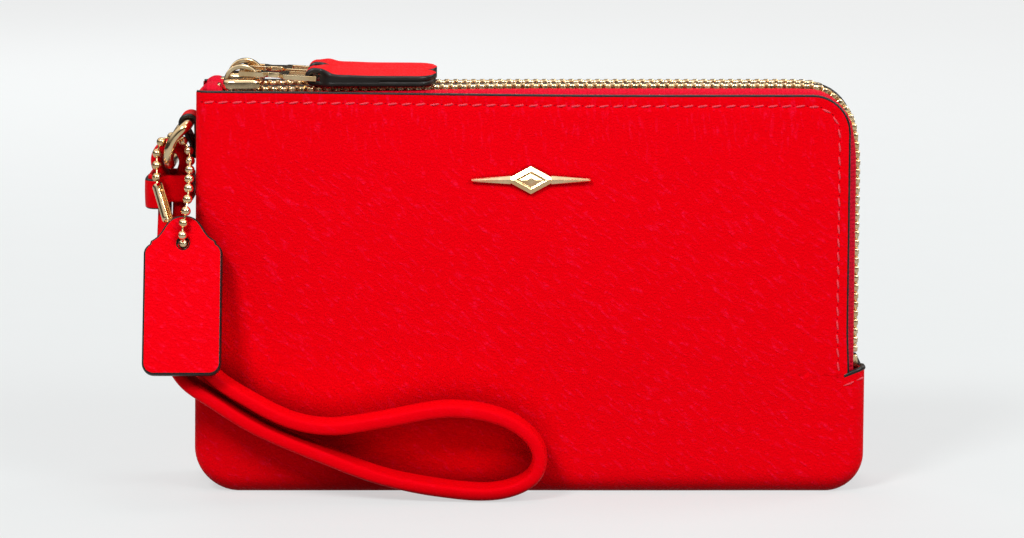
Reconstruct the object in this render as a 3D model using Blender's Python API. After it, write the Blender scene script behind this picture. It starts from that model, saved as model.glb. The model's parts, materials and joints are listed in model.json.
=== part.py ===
"""Double-zip wristlet wallet: two leather compartments, each with a metal zip round its top and
side, a D-ring on the left with a wrist strap, and a hang tag on a ball chain.

Every length below is in millimetres and becomes metres when a mesh is made.
+X runs along the wallet, +Y from front to back, +Z up; the origin is the middle of the base.
"""
import math

import bmesh
import bpy
from mathutils import Vector

MM = 0.001
GAP = 0.3

# Driving dimensions
WIDTH = 165.0
TOP = 98.8
HALF_DEPTH = 14.0
LEATHER = 1.3
BULGE = 1.6
LEFT = -WIDTH / 2
LEFT_LEAN = 1.5
RIGHT = WIDTH / 2
ZIP_EDGE = 78.2
BOTTOM_LEFT_RADIUS = 11.0
BOTTOM_RIGHT_RADIUS = 9.5
TOP_RIGHT_RADIUS = 9.0
COLLAR_LOW, COLLAR_HIGH = 29.0, 29.6
GUSSET_BELOW_TOP, GUSSET_ABOVE_COLLAR = 1.0, 1.4
ROLL_DEPTH, ROLL_WIDTH = 1.8, 3.5

# Zips: one on each side of the divider; heights are measured outward from the panel edge
ZIP_Y = 6.8
TAPE_THICK = 0.5
TAPE_START_X = -78.0
TAPE_END_Z = 24.0
TAPE_HEIGHT = 0.35
TAPE_SKIRT = -5.0
TEETH_START_X = -73.2
TEETH_END_Z = 35.0
TEETH_LOW, TEETH_HIGH = -0.6, 1.8
TEETH_WIDTH = 1.95
TOOTH_PITCH = 2.2
TOOTH_HALF_LENGTH = 0.55
TOOTH_VALLEY = 0.9
STOP_LENGTH = 1.5
DIVIDER_HALF = 0.7

# The mouth folds along a line across each panel, from the slider to the end of the zip
FOLD_START = (-72.0, TOP)
FOLD_END = (ZIP_EDGE, 31.5)
FOLD_DEPTH = 16.0

SLIDER_LENGTH, SLIDER_HALF_WIDTH = 9.0, 4.0
SLIDER_X = -74.6
PULL_PIVOT = (-70.2, TOP + 4.5)
PULL_LENGTH = 17.8
PULL_TAB_LENGTH = 29.6

RING_BAR = (-83.6, 90.4)
RING_HANG = (-88.3, 80.2)
RING_WIRE = 1.25
RING_BOW = 1.2
RING_HALF_WIDTH = 8.45
STRAP_WIDTH = 9.0
TAG_LEAN = math.radians(20.0)
TAG_HOLE = Vector((-84.0, -18.6, 62.6))

BADGE_CENTRE = (0.4, 78.0)
BADGE_PRONG_SPACING = 9.0

MATERIALS = {
    "red_leather": ((0.80, 0.005, 0.012), 0.45, 0.0),
    "red_tape": ((0.62, 0.01, 0.03), 0.8, 0.0),
    "red_lining": ((0.45, 0.02, 0.04), 0.7, 0.0),
    "pale_gold": ((0.83, 0.65, 0.38), 0.22, 1.0),
}

# Each moving body hangs from its parent at a pivot (x, y, z)
BODIES = {
    "wallet": (None, (0, 0, 0)),
    "front_flap": ("wallet", (FOLD_START[0], -FOLD_DEPTH, FOLD_START[1])),
    "back_flap": ("wallet", (FOLD_START[0], FOLD_DEPTH, FOLD_START[1])),
    "front_slider": ("wallet", (SLIDER_X, -ZIP_Y, TOP)),
    "back_slider": ("wallet", (SLIDER_X, ZIP_Y, TOP)),
    "front_pull": ("front_slider", (PULL_PIVOT[0], -ZIP_Y, PULL_PIVOT[1])),
    "back_pull": ("back_slider", (PULL_PIVOT[0], ZIP_Y, PULL_PIVOT[1])),
    "front_tab": ("front_pull", (PULL_PIVOT[0] + PULL_LENGTH, -ZIP_Y, PULL_PIVOT[1])),
    "back_tab": ("back_pull", (PULL_PIVOT[0] + PULL_LENGTH, ZIP_Y, PULL_PIVOT[1])),
    "ring": ("wallet", (RING_BAR[0], 0, RING_BAR[1])),
    "strap": ("ring", (RING_HANG[0], 0, RING_HANG[1])),
    "chain": ("ring", (RING_HANG[0], 0, RING_HANG[1])),
    "tag": ("chain", tuple(TAG_HOLE)),
}


# ---------------------------------------------------------------- scene and mesh helpers


def clear_scene():
    for old in list(bpy.data.objects):
        bpy.data.objects.remove(old, do_unlink=True)


def make_materials():
    for name, (colour, roughness, metallic) in MATERIALS.items():
        material = bpy.data.materials.new(name)
        material.use_nodes = True
        shader = material.node_tree.nodes["Principled BSDF"]
        shader.inputs["Base Color"].default_value = (*colour, 1.0)
        shader.inputs["Roughness"].default_value = roughness
        shader.inputs["Metallic"].default_value = metallic


def make_bodies():
    for body, (parent, pivot) in BODIES.items():
        empty = bpy.data.objects.new(f"body_{body}", None)
        empty.hide_render = True
        bpy.context.collection.objects.link(empty)
        base = Vector((0, 0, 0))
        if parent:
            empty.parent = bpy.data.objects[f"body_{parent}"]
            base = Vector(BODIES[parent][1])
        empty.location = (Vector(pivot) - base) * MM


def add_object(name, mesh_data, material, body="wallet", smooth=False):
    """An object from (vertices, faces) in millimetres, hung on a body's pivot, its faces turned outward."""
    verts, faces = mesh_data
    pivot = Vector(BODIES[body][1])
    mesh = bpy.data.meshes.new(name)
    mesh.from_pydata([(Vector(v) - pivot) * MM for v in verts], [], faces)
    tidy = bmesh.new()
    tidy.from_mesh(mesh)
    bmesh.ops.recalc_face_normals(tidy, faces=tidy.faces)
    tidy.to_mesh(mesh)
    tidy.free()
    if smooth:
        mesh.shade_smooth()
        mesh.set_sharp_from_angle(angle=math.radians(40))
    mesh.materials.append(bpy.data.materials[material])
    obj = bpy.data.objects.new(name, mesh)
    bpy.context.collection.objects.link(obj)
    obj.parent = bpy.data.objects[f"body_{body}"]
    return obj


def add_helper(name, mesh_data, body):
    """A solid that only joins or cuts another."""
    helper = add_object(name, mesh_data, "pale_gold", body)
    helper.hide_render = True
    helper.display_type = "WIRE"
    return helper


def combine(obj, helper, operation):
    modifier = obj.modifiers.new(helper.name, "BOOLEAN")
    modifier.operation = operation
    modifier.object = helper
    modifier.solver = "EXACT"


def lofted(rings, closed=False):
    """(vertices, faces) of a skin over rings of equal length; open ends get a cap."""
    count = len(rings[0])
    verts = [p for ring in rings for p in ring]
    spans = len(rings) if closed else len(rings) - 1
    faces = []
    for r in range(spans):
        near, far = r * count, (r + 1) % len(rings) * count
        for i in range(count):
            j = (i + 1) % count
            faces.append((near + i, near + j, far + j, far + i))
    if not closed:
        faces.append(tuple(range(count)))
        faces.append(tuple(range(len(verts) - count, len(verts))))
    return verts, faces


def prism(outline, low, high, axis):
    """A flat outline stretched along one axis (0, 1 or 2) from low to high."""
    return lofted([[insert(p, level, axis) for p in outline] for level in (low, high)])


def insert(point, value, axis):
    full = list(point)
    full.insert(axis, value)
    return tuple(full)


def box(low, high):
    outline = [(low[0], low[1]), (high[0], low[1]), (high[0], high[1]), (low[0], high[1])]
    return prism(outline, low[2], high[2], 2)


def arc(centre, radius, start_deg, end_deg, steps):
    """Points on an arc in a plane, both ends included."""
    points = []
    for i in range(steps + 1):
        a = math.radians(start_deg + (end_deg - start_deg) * i / steps)
        points.append((centre[0] + radius * math.cos(a), centre[1] + radius * math.sin(a)))
    return points


def thickened(line, thickness):
    """A closed outline of even thickness round a flat centre line."""
    left, right = [], []
    for i, p in enumerate(line):
        before = Vector(line[max(i - 1, 0)])
        after = Vector(line[min(i + 1, len(line) - 1)])
        along = (after - before).normalized()
        side = Vector((-along.y, along.x)) * thickness / 2
        left.append(tuple(Vector(p) + side))
        right.append(tuple(Vector(p) - side))
    return left + right[::-1]


def curve_through(points, steps, closed=False):
    """A smooth curve through the points (Catmull-Rom), with this many steps between neighbours."""
    points = [Vector(p) for p in points]
    count = len(points)
    spans = count if closed else count - 1
    result = []
    for i in range(spans):
        if closed:
            p0, p1, p2, p3 = (points[(i + k) % count] for k in (-1, 0, 1, 2))
        else:
            p0, p1, p2, p3 = (points[min(max(i + k, 0), count - 1)] for k in (-1, 0, 1, 2))
        for s in range(steps):
            t = s / steps
            result.append(
                0.5 * (2 * p1 + (p2 - p0) * t + (2 * p0 - 5 * p1 + 4 * p2 - p3) * t * t
                       + (3 * p1 - p0 - 3 * p2 + p3) * t ** 3)
            )
    if not closed:
        result.append(points[-1])
    return result


def tube(path, radii, sides, closed=False):
    """A round tube along a path; radii is one number, or one per point."""
    if not isinstance(radii, (list, tuple)):
        radii = [radii] * len(path)
    rings = []
    normal = None
    for i, p in enumerate(path):
        before = path[i - 1] if closed or i else path[i]
        after = path[(i + 1) % len(path)] if closed or i + 1 < len(path) else path[i]
        along = (after - before).normalized()
        if normal is None:
            normal = along.orthogonal().normalized()
        normal = (normal - along * normal.dot(along)).normalized()
        other = along.cross(normal)
        turns = [math.tau * k / sides for k in range(sides)]
        rings.append([p + (normal * math.cos(a) + other * math.sin(a)) * radii[i] for a in turns])
    return lofted(rings, closed)


# ---------------------------------------------------------------- outline of the wallet


def left_edge(z, inset):
    if z >= BOTTOM_LEFT_RADIUS:
        lean = LEFT_LEAN * (z - BOTTOM_LEFT_RADIUS) / (TOP - BOTTOM_LEFT_RADIUS)
        return LEFT + lean + inset
    radius = BOTTOM_LEFT_RADIUS - inset
    rise = BOTTOM_LEFT_RADIUS - z
    return LEFT + BOTTOM_LEFT_RADIUS - math.sqrt(max(radius ** 2 - rise ** 2, 0))


def right_edge(z, inset, cut_inset):
    if z > TOP - TOP_RIGHT_RADIUS:
        radius = TOP_RIGHT_RADIUS - cut_inset
        rise = z - (TOP - TOP_RIGHT_RADIUS)
        return ZIP_EDGE - TOP_RIGHT_RADIUS + math.sqrt(max(radius ** 2 - rise ** 2, 0))
    if z > COLLAR_LOW:
        share = min((z - COLLAR_LOW) / (COLLAR_HIGH - COLLAR_LOW), 1)
        return (RIGHT - inset) * (1 - share) + (ZIP_EDGE - cut_inset) * share
    if z > BOTTOM_RIGHT_RADIUS:
        return RIGHT - inset
    radius = BOTTOM_RIGHT_RADIUS - inset
    rise = BOTTOM_RIGHT_RADIUS - z
    return RIGHT - BOTTOM_RIGHT_RADIUS + math.sqrt(max(radius ** 2 - rise ** 2, 0))


def turned_edge_distance(x, z):
    """How far a point is from the left, bottom and lower right edges, whose leather is turned in."""
    distance = min(x - left_edge(z, 0), z)
    if z < COLLAR_LOW:
        distance = min(distance, right_edge(z, 0, 0) - x)
    corners = (
        (LEFT + BOTTOM_LEFT_RADIUS, BOTTOM_LEFT_RADIUS, -1),
        (RIGHT - BOTTOM_RIGHT_RADIUS, BOTTOM_RIGHT_RADIUS, 1),
    )
    for centre, radius, side in corners:
        if z < radius and (x - centre) * side > 0:
            distance = min(distance, radius - math.hypot(x - centre, z - radius))
    return max(distance, 0)


def panel_depth(x, z):
    """How far the outer face of a panel stands from the middle plane."""
    across = max(math.sin(math.pi * (x - LEFT) / WIDTH), 0)
    upward = max(math.sin(math.pi * z / TOP), 0)
    roll = max(1 - turned_edge_distance(x, z) / ROLL_WIDTH, 0)
    return HALF_DEPTH + BULGE * across * upward - ROLL_DEPTH * roll ** 2


def panel_rows(inset, cut_inset):
    """Heights of the rows of a panel's mesh, close together where its corners curve."""
    corner = BOTTOM_LEFT_RADIUS - inset
    low = [inset + corner * (1 - math.cos(math.radians(a))) for a in (0, 20, 40, 60, 78, 90)]
    top_corner = TOP_RIGHT_RADIUS - cut_inset
    bend = TOP - TOP_RIGHT_RADIUS
    high = [bend + top_corner * math.sin(math.radians(a)) for a in (0, 25, 50, 72, 90)]
    return low + [18.0, COLLAR_LOW, COLLAR_HIGH, 44.0, 60.0, 75.0] + high


PANEL_COLUMNS = (0, 0.012, 0.035, 0.1, 0.22, 0.36, 0.5, 0.64, 0.78, 0.9, 0.965, 0.988, 1)
FLAT_COLUMNS = (0, 0.5, 1)


def sheet(side, inset, cut_inset, setback, thickness, columns=PANEL_COLUMNS, flat_depth=None):
    """A closed sheet that follows a panel's outline and face, set back from it; side is -1 or 1."""
    rows = panel_rows(inset, cut_inset)
    layers = ([], [])
    for z in rows:
        start, end = left_edge(z, inset), right_edge(z, inset, cut_inset)
        if cut_inset > 0:
            end = min(end, ZIP_EDGE - cut_inset)
        for share in columns:
            x = start + (end - start) * share
            depth = panel_depth(x, z) - setback if flat_depth is None else flat_depth
            layers[0].append((x, side * depth, z))
            layers[1].append((x, side * (depth - thickness), z))
    wide, high = len(columns), len(rows)
    shift = wide * high
    faces = []
    for r in range(high - 1):
        for c in range(wide - 1):
            a, b = r * wide + c, r * wide + c + 1
            faces.append((a, b, b + wide, a + wide))
            faces.append((a + shift, a + wide + shift, b + wide + shift, b + shift))
    rim = list(range(wide))
    rim += [r * wide + wide - 1 for r in range(1, high)]
    rim += [(high - 1) * wide + c for c in range(wide - 2, -1, -1)]
    rim += [r * wide for r in range(high - 2, 0, -1)]
    for i, a in enumerate(rim):
        b = rim[(i + 1) % len(rim)]
        faces.append((a, b, b + shift, a + shift))
    return layers[0] + layers[1], faces


def fold_normal():
    along = Vector((FOLD_END[0] - FOLD_START[0], 0, FOLD_END[1] - FOLD_START[1])).normalized()
    return Vector((-along.z, 0, along.x))


def cut_at_fold(mesh_data, upper):
    """The part of a sheet above or below the fold line, closed again at the cut."""
    work = bmesh.new()
    verts = [work.verts.new(v) for v in mesh_data[0]]
    for face in mesh_data[1]:
        work.faces.new([verts[i] for i in face])
    normal = fold_normal()
    shift = GAP / 2 if upper else -GAP / 2
    start = Vector((FOLD_START[0], 0, FOLD_START[1])) + normal * shift
    bmesh.ops.bisect_plane(
        work,
        geom=list(work.verts) + list(work.edges) + list(work.faces),
        plane_co=start,
        plane_no=normal,
        clear_inner=upper,
        clear_outer=not upper,
    )
    bmesh.ops.edgeloop_fill(work, edges=[e for e in work.edges if e.is_boundary])
    work.verts.index_update()
    result = (
        [tuple(v.co) for v in work.verts],
        [tuple(v.index for v in f.verts) for f in work.faces],
    )
    work.free()
    return result


# ---------------------------------------------------------------- leather shell and lining


def add_panel(name, side):
    whole = sheet(side, 0, 0, 0, LEATHER)
    add_object(f"{name}_panel", cut_at_fold(whole, upper=False), "red_leather", smooth=True)
    flap = cut_at_fold(whole, upper=True)
    return add_object(f"{name}_panel_flap", flap, "red_leather", f"{name}_flap", smooth=True)


LINING_INSET, LINING_TOP_INSET = 1.9, 2.6
LINING_SETBACK, LINING_THICK = 2.7, 0.5
DIVIDER_LINING_DEPTH = DIVIDER_HALF + GAP + TAPE_THICK + 2 * GAP + LINING_THICK


def add_lining(name, side):
    whole = sheet(side, LINING_INSET, LINING_TOP_INSET, LINING_SETBACK, LINING_THICK)
    add_object(f"{name}_lining", cut_at_fold(whole, upper=False), "red_lining")
    flap = cut_at_fold(whole, upper=True)
    add_object(f"{name}_lining_flap", flap, "red_lining", f"{name}_flap")
    inner = sheet(
        side, LINING_INSET, LINING_TOP_INSET, 0, LINING_THICK, FLAT_COLUMNS, DIVIDER_LINING_DEPTH
    )
    add_object(f"{name}_divider_lining", inner, "red_lining")


DIVIDER_INSET, DIVIDER_ABOVE = 1.7, 0.8


def add_divider():
    """The leather wall between the two compartments; its painted edge stands between the zips."""
    wall = sheet(
        1, DIVIDER_INSET, -DIVIDER_ABOVE, 0, 2 * DIVIDER_HALF, FLAT_COLUMNS, DIVIDER_HALF
    )
    add_object("divider_panel", wall, "red_leather")


def add_gusset():
    """One strip of leather round the left side, the base and the lower right side."""
    half = HALF_DEPTH - ROLL_DEPTH - LEATHER - GAP
    top_left = TOP - GUSSET_BELOW_TOP
    line = [(left_edge(top_left, 0), top_left, -1, 0), (LEFT, BOTTOM_LEFT_RADIUS, -1, 0)]
    corners = (
        (LEFT + BOTTOM_LEFT_RADIUS, BOTTOM_LEFT_RADIUS, 180),
        (RIGHT - BOTTOM_RIGHT_RADIUS, BOTTOM_RIGHT_RADIUS, 270),
    )
    for centre, radius, start in corners:
        for k in range(1 if start == 180 else 0, 7):
            a = math.radians(start + 15 * k)
            c, s = math.cos(a), math.sin(a)
            line.append((centre + radius * c, radius + radius * s, c, s))
    line.append((RIGHT, COLLAR_HIGH + GUSSET_ABOVE_COLLAR, 1, 0))
    rings = []
    for x, z, out_x, out_z in line:
        inner = (x - out_x * LEATHER, z - out_z * LEATHER)
        outer_pair = [(x, -half, z), (x, half, z)]
        rings.append(outer_pair + [(inner[0], half, inner[1]), (inner[0], -half, inner[1])])
    add_object("side_gusset", lofted(rings), "red_leather", smooth=True)


POCKET_START_X, POCKET_END_X = -52.0, 44.0
POCKET_LOW = 8.0
POCKET_THICK = 0.8
POCKET_TOPS = {"upper_card_pocket": 62.0, "lower_card_pocket": 46.0}


def add_card_pockets():
    """Two stepped slip pockets on the back face of the divider."""
    near = DIVIDER_LINING_DEPTH + GAP
    for name, top in POCKET_TOPS.items():
        pocket = box((POCKET_START_X, near, POCKET_LOW), (POCKET_END_X, near + POCKET_THICK, top))
        add_object(name, pocket, "red_lining")
        near += POCKET_THICK + GAP


# ---------------------------------------------------------------- zips


TURN_CENTRE = (ZIP_EDGE - TOP_RIGHT_RADIUS, TOP - TOP_RIGHT_RADIUS)


def zip_line(start_x, end_z):
    """Stations (x, z, out_x, out_z) along the panel edge: top run, round corner, side run."""
    stations = [(start_x, TOP, 0.0, 1.0)]
    for a in range(90, -1, -10):
        stations.append(turn_station(math.radians(a)))
    stations.append((ZIP_EDGE, end_z, 1.0, 0.0))
    return stations


def turn_station(angle):
    """A station on the top right corner."""
    c, s = math.cos(angle), math.sin(angle)
    return (TURN_CENTRE[0] + TOP_RIGHT_RADIUS * c, TURN_CENTRE[1] + TOP_RIGHT_RADIUS * s, c, s)


TOP_RUN = TURN_CENTRE[0] - TEETH_START_X
TURN_RUN = TOP_RIGHT_RADIUS * math.pi / 2
SIDE_RUN = TURN_CENTRE[1] - TEETH_END_Z


def teeth_station(distance):
    """The station this far along the teeth."""
    if distance <= TOP_RUN:
        return (TEETH_START_X + distance, TOP, 0.0, 1.0)
    if distance <= TOP_RUN + TURN_RUN:
        return turn_station(math.pi / 2 - (distance - TOP_RUN) / TOP_RIGHT_RADIUS)
    return (ZIP_EDGE, TURN_CENTRE[1] - (distance - TOP_RUN - TURN_RUN), 1.0, 0.0)


def along_zip(outline, stations):
    """An outline of (y, height) pairs carried along the zip."""
    return lofted([[(x + ox * h, y, z + oz * h) for y, h in outline] for x, z, ox, oz in stations])


def teeth_row(y_start, y_end, offset):
    """A row of teeth as one comb: full height at each tooth, a valley between two teeth."""
    length = TOP_RUN + TURN_RUN + SIDE_RUN
    slope = 0.1
    marks = [(0.0, TOOTH_VALLEY)]
    for k in range(int((length - offset) / TOOTH_PITCH)):
        middle = offset + (k + 0.5) * TOOTH_PITCH
        marks += [
            (middle - TOOTH_HALF_LENGTH - slope, TOOTH_VALLEY),
            (middle - TOOTH_HALF_LENGTH, TEETH_HIGH),
            (middle + TOOTH_HALF_LENGTH, TEETH_HIGH),
            (middle + TOOTH_HALF_LENGTH + slope, TOOTH_VALLEY),
        ]
    marks.append((length, TOOTH_VALLEY))
    rings = []
    for distance, high in marks:
        x, z, ox, oz = teeth_station(distance)
        corners = ((y_start, TEETH_LOW), (y_end, TEETH_LOW), (y_end, high), (y_start, high))
        rings.append([(x + ox * h, y, z + oz * h) for y, h in corners])
    return lofted(rings)


# Steps (sideways, height) by which a tape turns from its sewn skirt to the flat part under the teeth
TAPE_TURN = ((0.0, -0.9), (0.5, -0.1), (1.6, TAPE_HEIGHT))
ROW_START = GAP / 2
ROW_END = ROW_START + TEETH_WIDTH
TAPE_EDGE = ROW_END + GAP
STOP_X = SLIDER_X - STOP_LENGTH - 0.8
BOTTOM_STOP_LENGTH = 3.4


def tape_outline(side, foot, away):
    """Section of a tape; away is 1 where it turns towards the middle of the zip from the divider."""
    line = [(foot, TAPE_SKIRT)]
    line += [(foot + away * step, height) for step, height in TAPE_TURN]
    line.append((ZIP_Y - away * TAPE_EDGE, TAPE_HEIGHT))
    return [(side * y, height) for y, height in thickened(line, TAPE_THICK)]


def add_zip(name, side):
    """Tapes, rows of teeth and stops of one zip. Outer is the panel's half, inner the divider's."""
    halves = (
        ("outer", -1, HALF_DEPTH - LEATHER - GAP - TAPE_THICK / 2, f"{name}_flap"),
        ("inner", 1, DIVIDER_HALF + GAP + TAPE_THICK / 2, "wallet"),
    )
    for half, away, foot, body in halves:
        tape = along_zip(tape_outline(side, foot, away), zip_line(TAPE_START_X, TAPE_END_Z))
        add_object(f"{name}_zip_{half}_tape", tape, "red_tape", body)
        y_start, y_end = side * (ZIP_Y - away * ROW_START), side * (ZIP_Y - away * ROW_END)
        offset = TOOTH_PITCH / 2 if half == "inner" else 0.0
        row = teeth_row(y_start, y_end, offset)
        add_object(f"{name}_zip_{half}_teeth", row, "pale_gold", body)
        y_low, y_high = sorted((y_start, y_end))
        stop = box((STOP_X, y_low, TOP + TEETH_LOW), (STOP_X + STOP_LENGTH, y_high, TOP + TEETH_HIGH))
        add_object(f"{name}_zip_{half}_top_stop", stop, "pale_gold")
    middle = side * ZIP_Y
    stop_high = TEETH_END_Z - GAP
    bottom_stop = box(
        (ZIP_EDGE + TEETH_LOW, middle - TEETH_WIDTH, stop_high - BOTTOM_STOP_LENGTH),
        (ZIP_EDGE + TEETH_HIGH, middle + TEETH_WIDTH, stop_high),
    )
    add_object(f"{name}_zip_bottom_stop", bottom_stop, "pale_gold")


PLATE_THICK = 1.0
FLOOR_THICK = 0.8
FLANGE = 1.0
NECK_HALF = 0.45
BRIDGE_WIRE = 1.2
BRIDGE_HALF_WIDTH = 1.1
LINK_THICK = 1.2


def add_slider(name, side):
    """Slider: a plate above and one below the teeth, a neck between them and a bridge for the pull."""
    body = f"{name}_slider"
    middle = side * ZIP_Y
    half = SLIDER_HALF_WIDTH
    chamfer = 0.3
    end_x = SLIDER_X + SLIDER_LENGTH
    plate_low = TOP + TEETH_HIGH + GAP
    plate_high = plate_low + PLATE_THICK
    tape_top = TOP + TAPE_HEIGHT + TAPE_THICK / 2 + GAP
    section = [
        (-half, tape_top), (-half, plate_high - chamfer), (-half + chamfer, plate_high),
        (half - chamfer, plate_high), (half, plate_high - chamfer), (half, tape_top),
        (half - FLANGE, tape_top), (half - FLANGE, plate_low),
        (FLANGE - half, plate_low), (FLANGE - half, tape_top),
    ]
    top_shell = prism([(middle + y, z) for y, z in section], SLIDER_X, end_x, 0)
    slider = add_object(f"{name}_zip_slider", top_shell, "pale_gold", body, smooth=True)
    floor_high = TOP + TEETH_LOW - GAP
    floor = box(
        (SLIDER_X, middle - half, floor_high - FLOOR_THICK), (end_x, middle + half, floor_high)
    )
    combine(slider, add_helper(f"{name}_slider_floor", floor, body), "UNION")
    neck = box(
        (SLIDER_X, middle - NECK_HALF, floor_high - FLOOR_THICK / 2),
        (TEETH_START_X - GAP, middle + NECK_HALF, plate_low + PLATE_THICK / 2),
    )
    combine(slider, add_helper(f"{name}_slider_neck", neck, body), "UNION")
    pivot_x, pivot_z = PULL_PIVOT
    leg, shoulder = 3.0, 1.2
    crown = pivot_z + (LINK_THICK + BRIDGE_WIRE) / 2 + GAP
    foot = plate_low + PLATE_THICK / 2
    arch_line = [
        (pivot_x - leg, foot), (pivot_x - leg, crown - shoulder), (pivot_x - leg + shoulder, crown),
        (pivot_x + leg - shoulder, crown), (pivot_x + leg, crown - shoulder), (pivot_x + leg, foot),
    ]
    arch = thickened(arch_line, BRIDGE_WIRE)
    bridge = prism(arch, middle - BRIDGE_HALF_WIDTH, middle + BRIDGE_HALF_WIDTH, 1)
    combine(slider, add_helper(f"{name}_slider_bridge", bridge, body), "UNION")


def add_pull_link(name, side):
    """Flat metal link: an eye round the slider's bridge and a square ring that holds the leather tab."""
    body = f"{name}_pull"
    middle = side * ZIP_Y
    pivot_x, pivot_z = PULL_PIVOT
    wire = LINK_THICK
    end_x = pivot_x + PULL_LENGTH + wire / 2
    eye_half, ring_half = 3.0, 4.75
    ring_start = end_x - 8.0
    half_outline = [
        (pivot_x - wire / 2, eye_half), (pivot_x + 5.2, eye_half), (pivot_x + 6.6, 1.9),
        (ring_start - 1.2, 1.9), (ring_start, ring_half), (end_x, ring_half),
    ]
    outline = [(x, middle + y) for x, y in half_outline]
    outline += [(x, middle - y) for x, y in half_outline[::-1]]
    plate = prism(outline, pivot_z - wire / 2, pivot_z + wire / 2, 2)
    link = add_object(f"{name}_pull_link", plate, "pale_gold", body)
    holes = (
        ("eye", pivot_x + wire / 2, pivot_x + 4.6, eye_half - 1.3),
        ("ring", ring_start + wire, end_x - wire, ring_half - wire),
    )
    for label, low_x, high_x, half in holes:
        cutter = box(
            (low_x, middle - half, pivot_z - 2), (high_x, middle + half, pivot_z + 2)
        )
        combine(link, add_helper(f"{name}_link_{label}_hole", cutter, body), "DIFFERENCE")


def add_pull_tab(name, side):
    """Leather tab folded round the link's ring and sewn to itself."""
    body = f"{name}_tab"
    middle = side * ZIP_Y
    bar_x, bar_z = PULL_PIVOT[0] + PULL_LENGTH, PULL_PIVOT[1]
    half_width, loop_half = 4.75, 3.1
    thick = 3.2
    low = TOP + TEETH_HIGH + 0.6
    start_x, end_x = bar_x + 1.9, bar_x + PULL_TAB_LENGTH
    corner = 4.0
    outline = [(start_x, middle - half_width + 0.8), (start_x + 1.5, middle - half_width)]
    outline += arc((end_x - corner, middle - half_width + corner), corner, -90, 0, 5)
    outline += arc((end_x - corner, middle + half_width - corner), corner, 0, 90, 5)
    outline += [(start_x + 1.5, middle + half_width), (start_x, middle + half_width - 0.8)]
    tab = add_object(f"{name}_pull_tab", prism(outline, low, low + thick, 2), "red_leather", body)
    loop = arc((bar_x, bar_z), 2.1, 50, 310, 12) + [(bar_x + 3.2, low + 0.3), (bar_x + 3.2, low + 2.9)]
    loop_mesh = prism(loop, middle - loop_half, middle + loop_half, 1)
    combine(tab, add_helper(f"{name}_tab_loop", loop_mesh, body), "UNION")
    hole = prism(arc((bar_x, bar_z), 1.2, 0, 330, 11), middle - 6, middle + 6, 1)
    combine(tab, add_helper(f"{name}_tab_hole", hole, body), "DIFFERENCE")


# ---------------------------------------------------------------- ring, strap, chain and tag


def add_ring_tab():
    """Leather tab sewn to the left side, folded over the ring's straight bar."""
    half_width, thick = 4.6, 1.1
    inner = RING_WIRE + GAP
    centre = inner + thick / 2
    face_x = left_edge(RING_BAR[1], 0) - GAP
    line = [(face_x, RING_BAR[1] + centre)]
    line += arc(RING_BAR, centre, 90, 270, 8)
    line += [(face_x - thick / 2 - 0.1, RING_BAR[1] - centre)]
    line += [(face_x - thick / 2 - 0.1, RING_BAR[1] - centre - 5.0)]
    outline = thickened(line, thick)
    add_object("ring_tab", prism(outline, -half_width, half_width, 1), "red_leather", smooth=True)


def add_d_ring():
    """Wire ring that leans outward from the side of the wallet, its arms bowed a little outward."""
    drop = Vector((RING_HANG[0] - RING_BAR[0], 0, RING_HANG[1] - RING_BAR[1]))
    length = drop.length
    down = drop / length
    outward = Vector((down.z, 0, -down.x))
    bar_corner, bow = 1.6, 4.5
    flat = [(RING_HALF_WIDTH - bar_corner, 0.0)]
    flat += arc((RING_HALF_WIDTH - bar_corner, bar_corner), bar_corner, -60, 0, 2)
    flat += arc((RING_HALF_WIDTH - bow, length - bow), bow, 0, 90, 6)
    flat += [(-y, d) for y, d in flat[::-1]]
    base = Vector((RING_BAR[0], 0, RING_BAR[1]))
    path = []
    for y, d in flat:
        bulge = RING_BOW * math.sin(math.pi * d / length)
        path.append(base + down * d + outward * bulge + Vector((0, y, 0)))
    add_object("d_ring", tube(path, RING_WIRE, 8, closed=True), "pale_gold", "ring", smooth=True)


# Middle line of the strap: (x, y, z, thickness), from the top of its small loop down the outer strand,
# round the wrist loop that lies in front of the panel, and back up the inner strand
STRAP_LINE = (
    (-88.5, 2.0, 84.5, 3.0),
    (-91.2, 2.0, 83.0, 3.0),
    (-91.9, 2.0, 80.0, 3.0),
    (-90.3, 2.0, 76.0, 3.0),
    (-90.2, 1.9, 70.0, 3.0),
    (-90.2, -3.6, 60.0, 3.0),
    (-90.0, -11.6, 49.5, 3.0),
    (-88.9, -18.6, 39.5, 3.2),
    (-84.4, -21.5, 30.6, 3.5),
    (-77.0, -21.6, 24.9, 3.6),
    (-66.0, -21.6, 18.0, 3.6),
    (-52.0, -21.6, 11.9, 3.6),
    (-36.0, -21.6, 5.8, 3.6),
    (-20.0, -21.6, 2.6, 3.6),
    (-8.0, -21.6, 2.1, 3.6),
    (0.2, -21.6, 5.2, 3.6),
    (2.6, -21.6, 10.6, 3.6),
    (0.0, -21.6, 16.2, 3.6),
    (-7.5, -21.6, 20.8, 3.6),
    (-20.0, -21.6, 22.6, 3.6),
    (-36.0, -21.6, 19.9, 3.6),
    (-48.0, -21.6, 18.2, 3.6),
    (-58.0, -21.6, 19.8, 3.5),
    (-68.0, -21.6, 24.8, 3.4),
    (-77.0, -21.5, 31.0, 3.4),
    (-83.6, -18.8, 39.5, 3.2),
    (-85.6, -11.8, 49.5, 3.0),
    (-86.4, -3.6, 60.0, 3.0),
    (-86.6, 1.9, 70.0, 3.0),
    (-86.2, 2.0, 76.0, 3.0),
    (-85.0, 2.0, 80.0, 3.0),
    (-85.8, 2.0, 83.0, 3.0),
)


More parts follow.
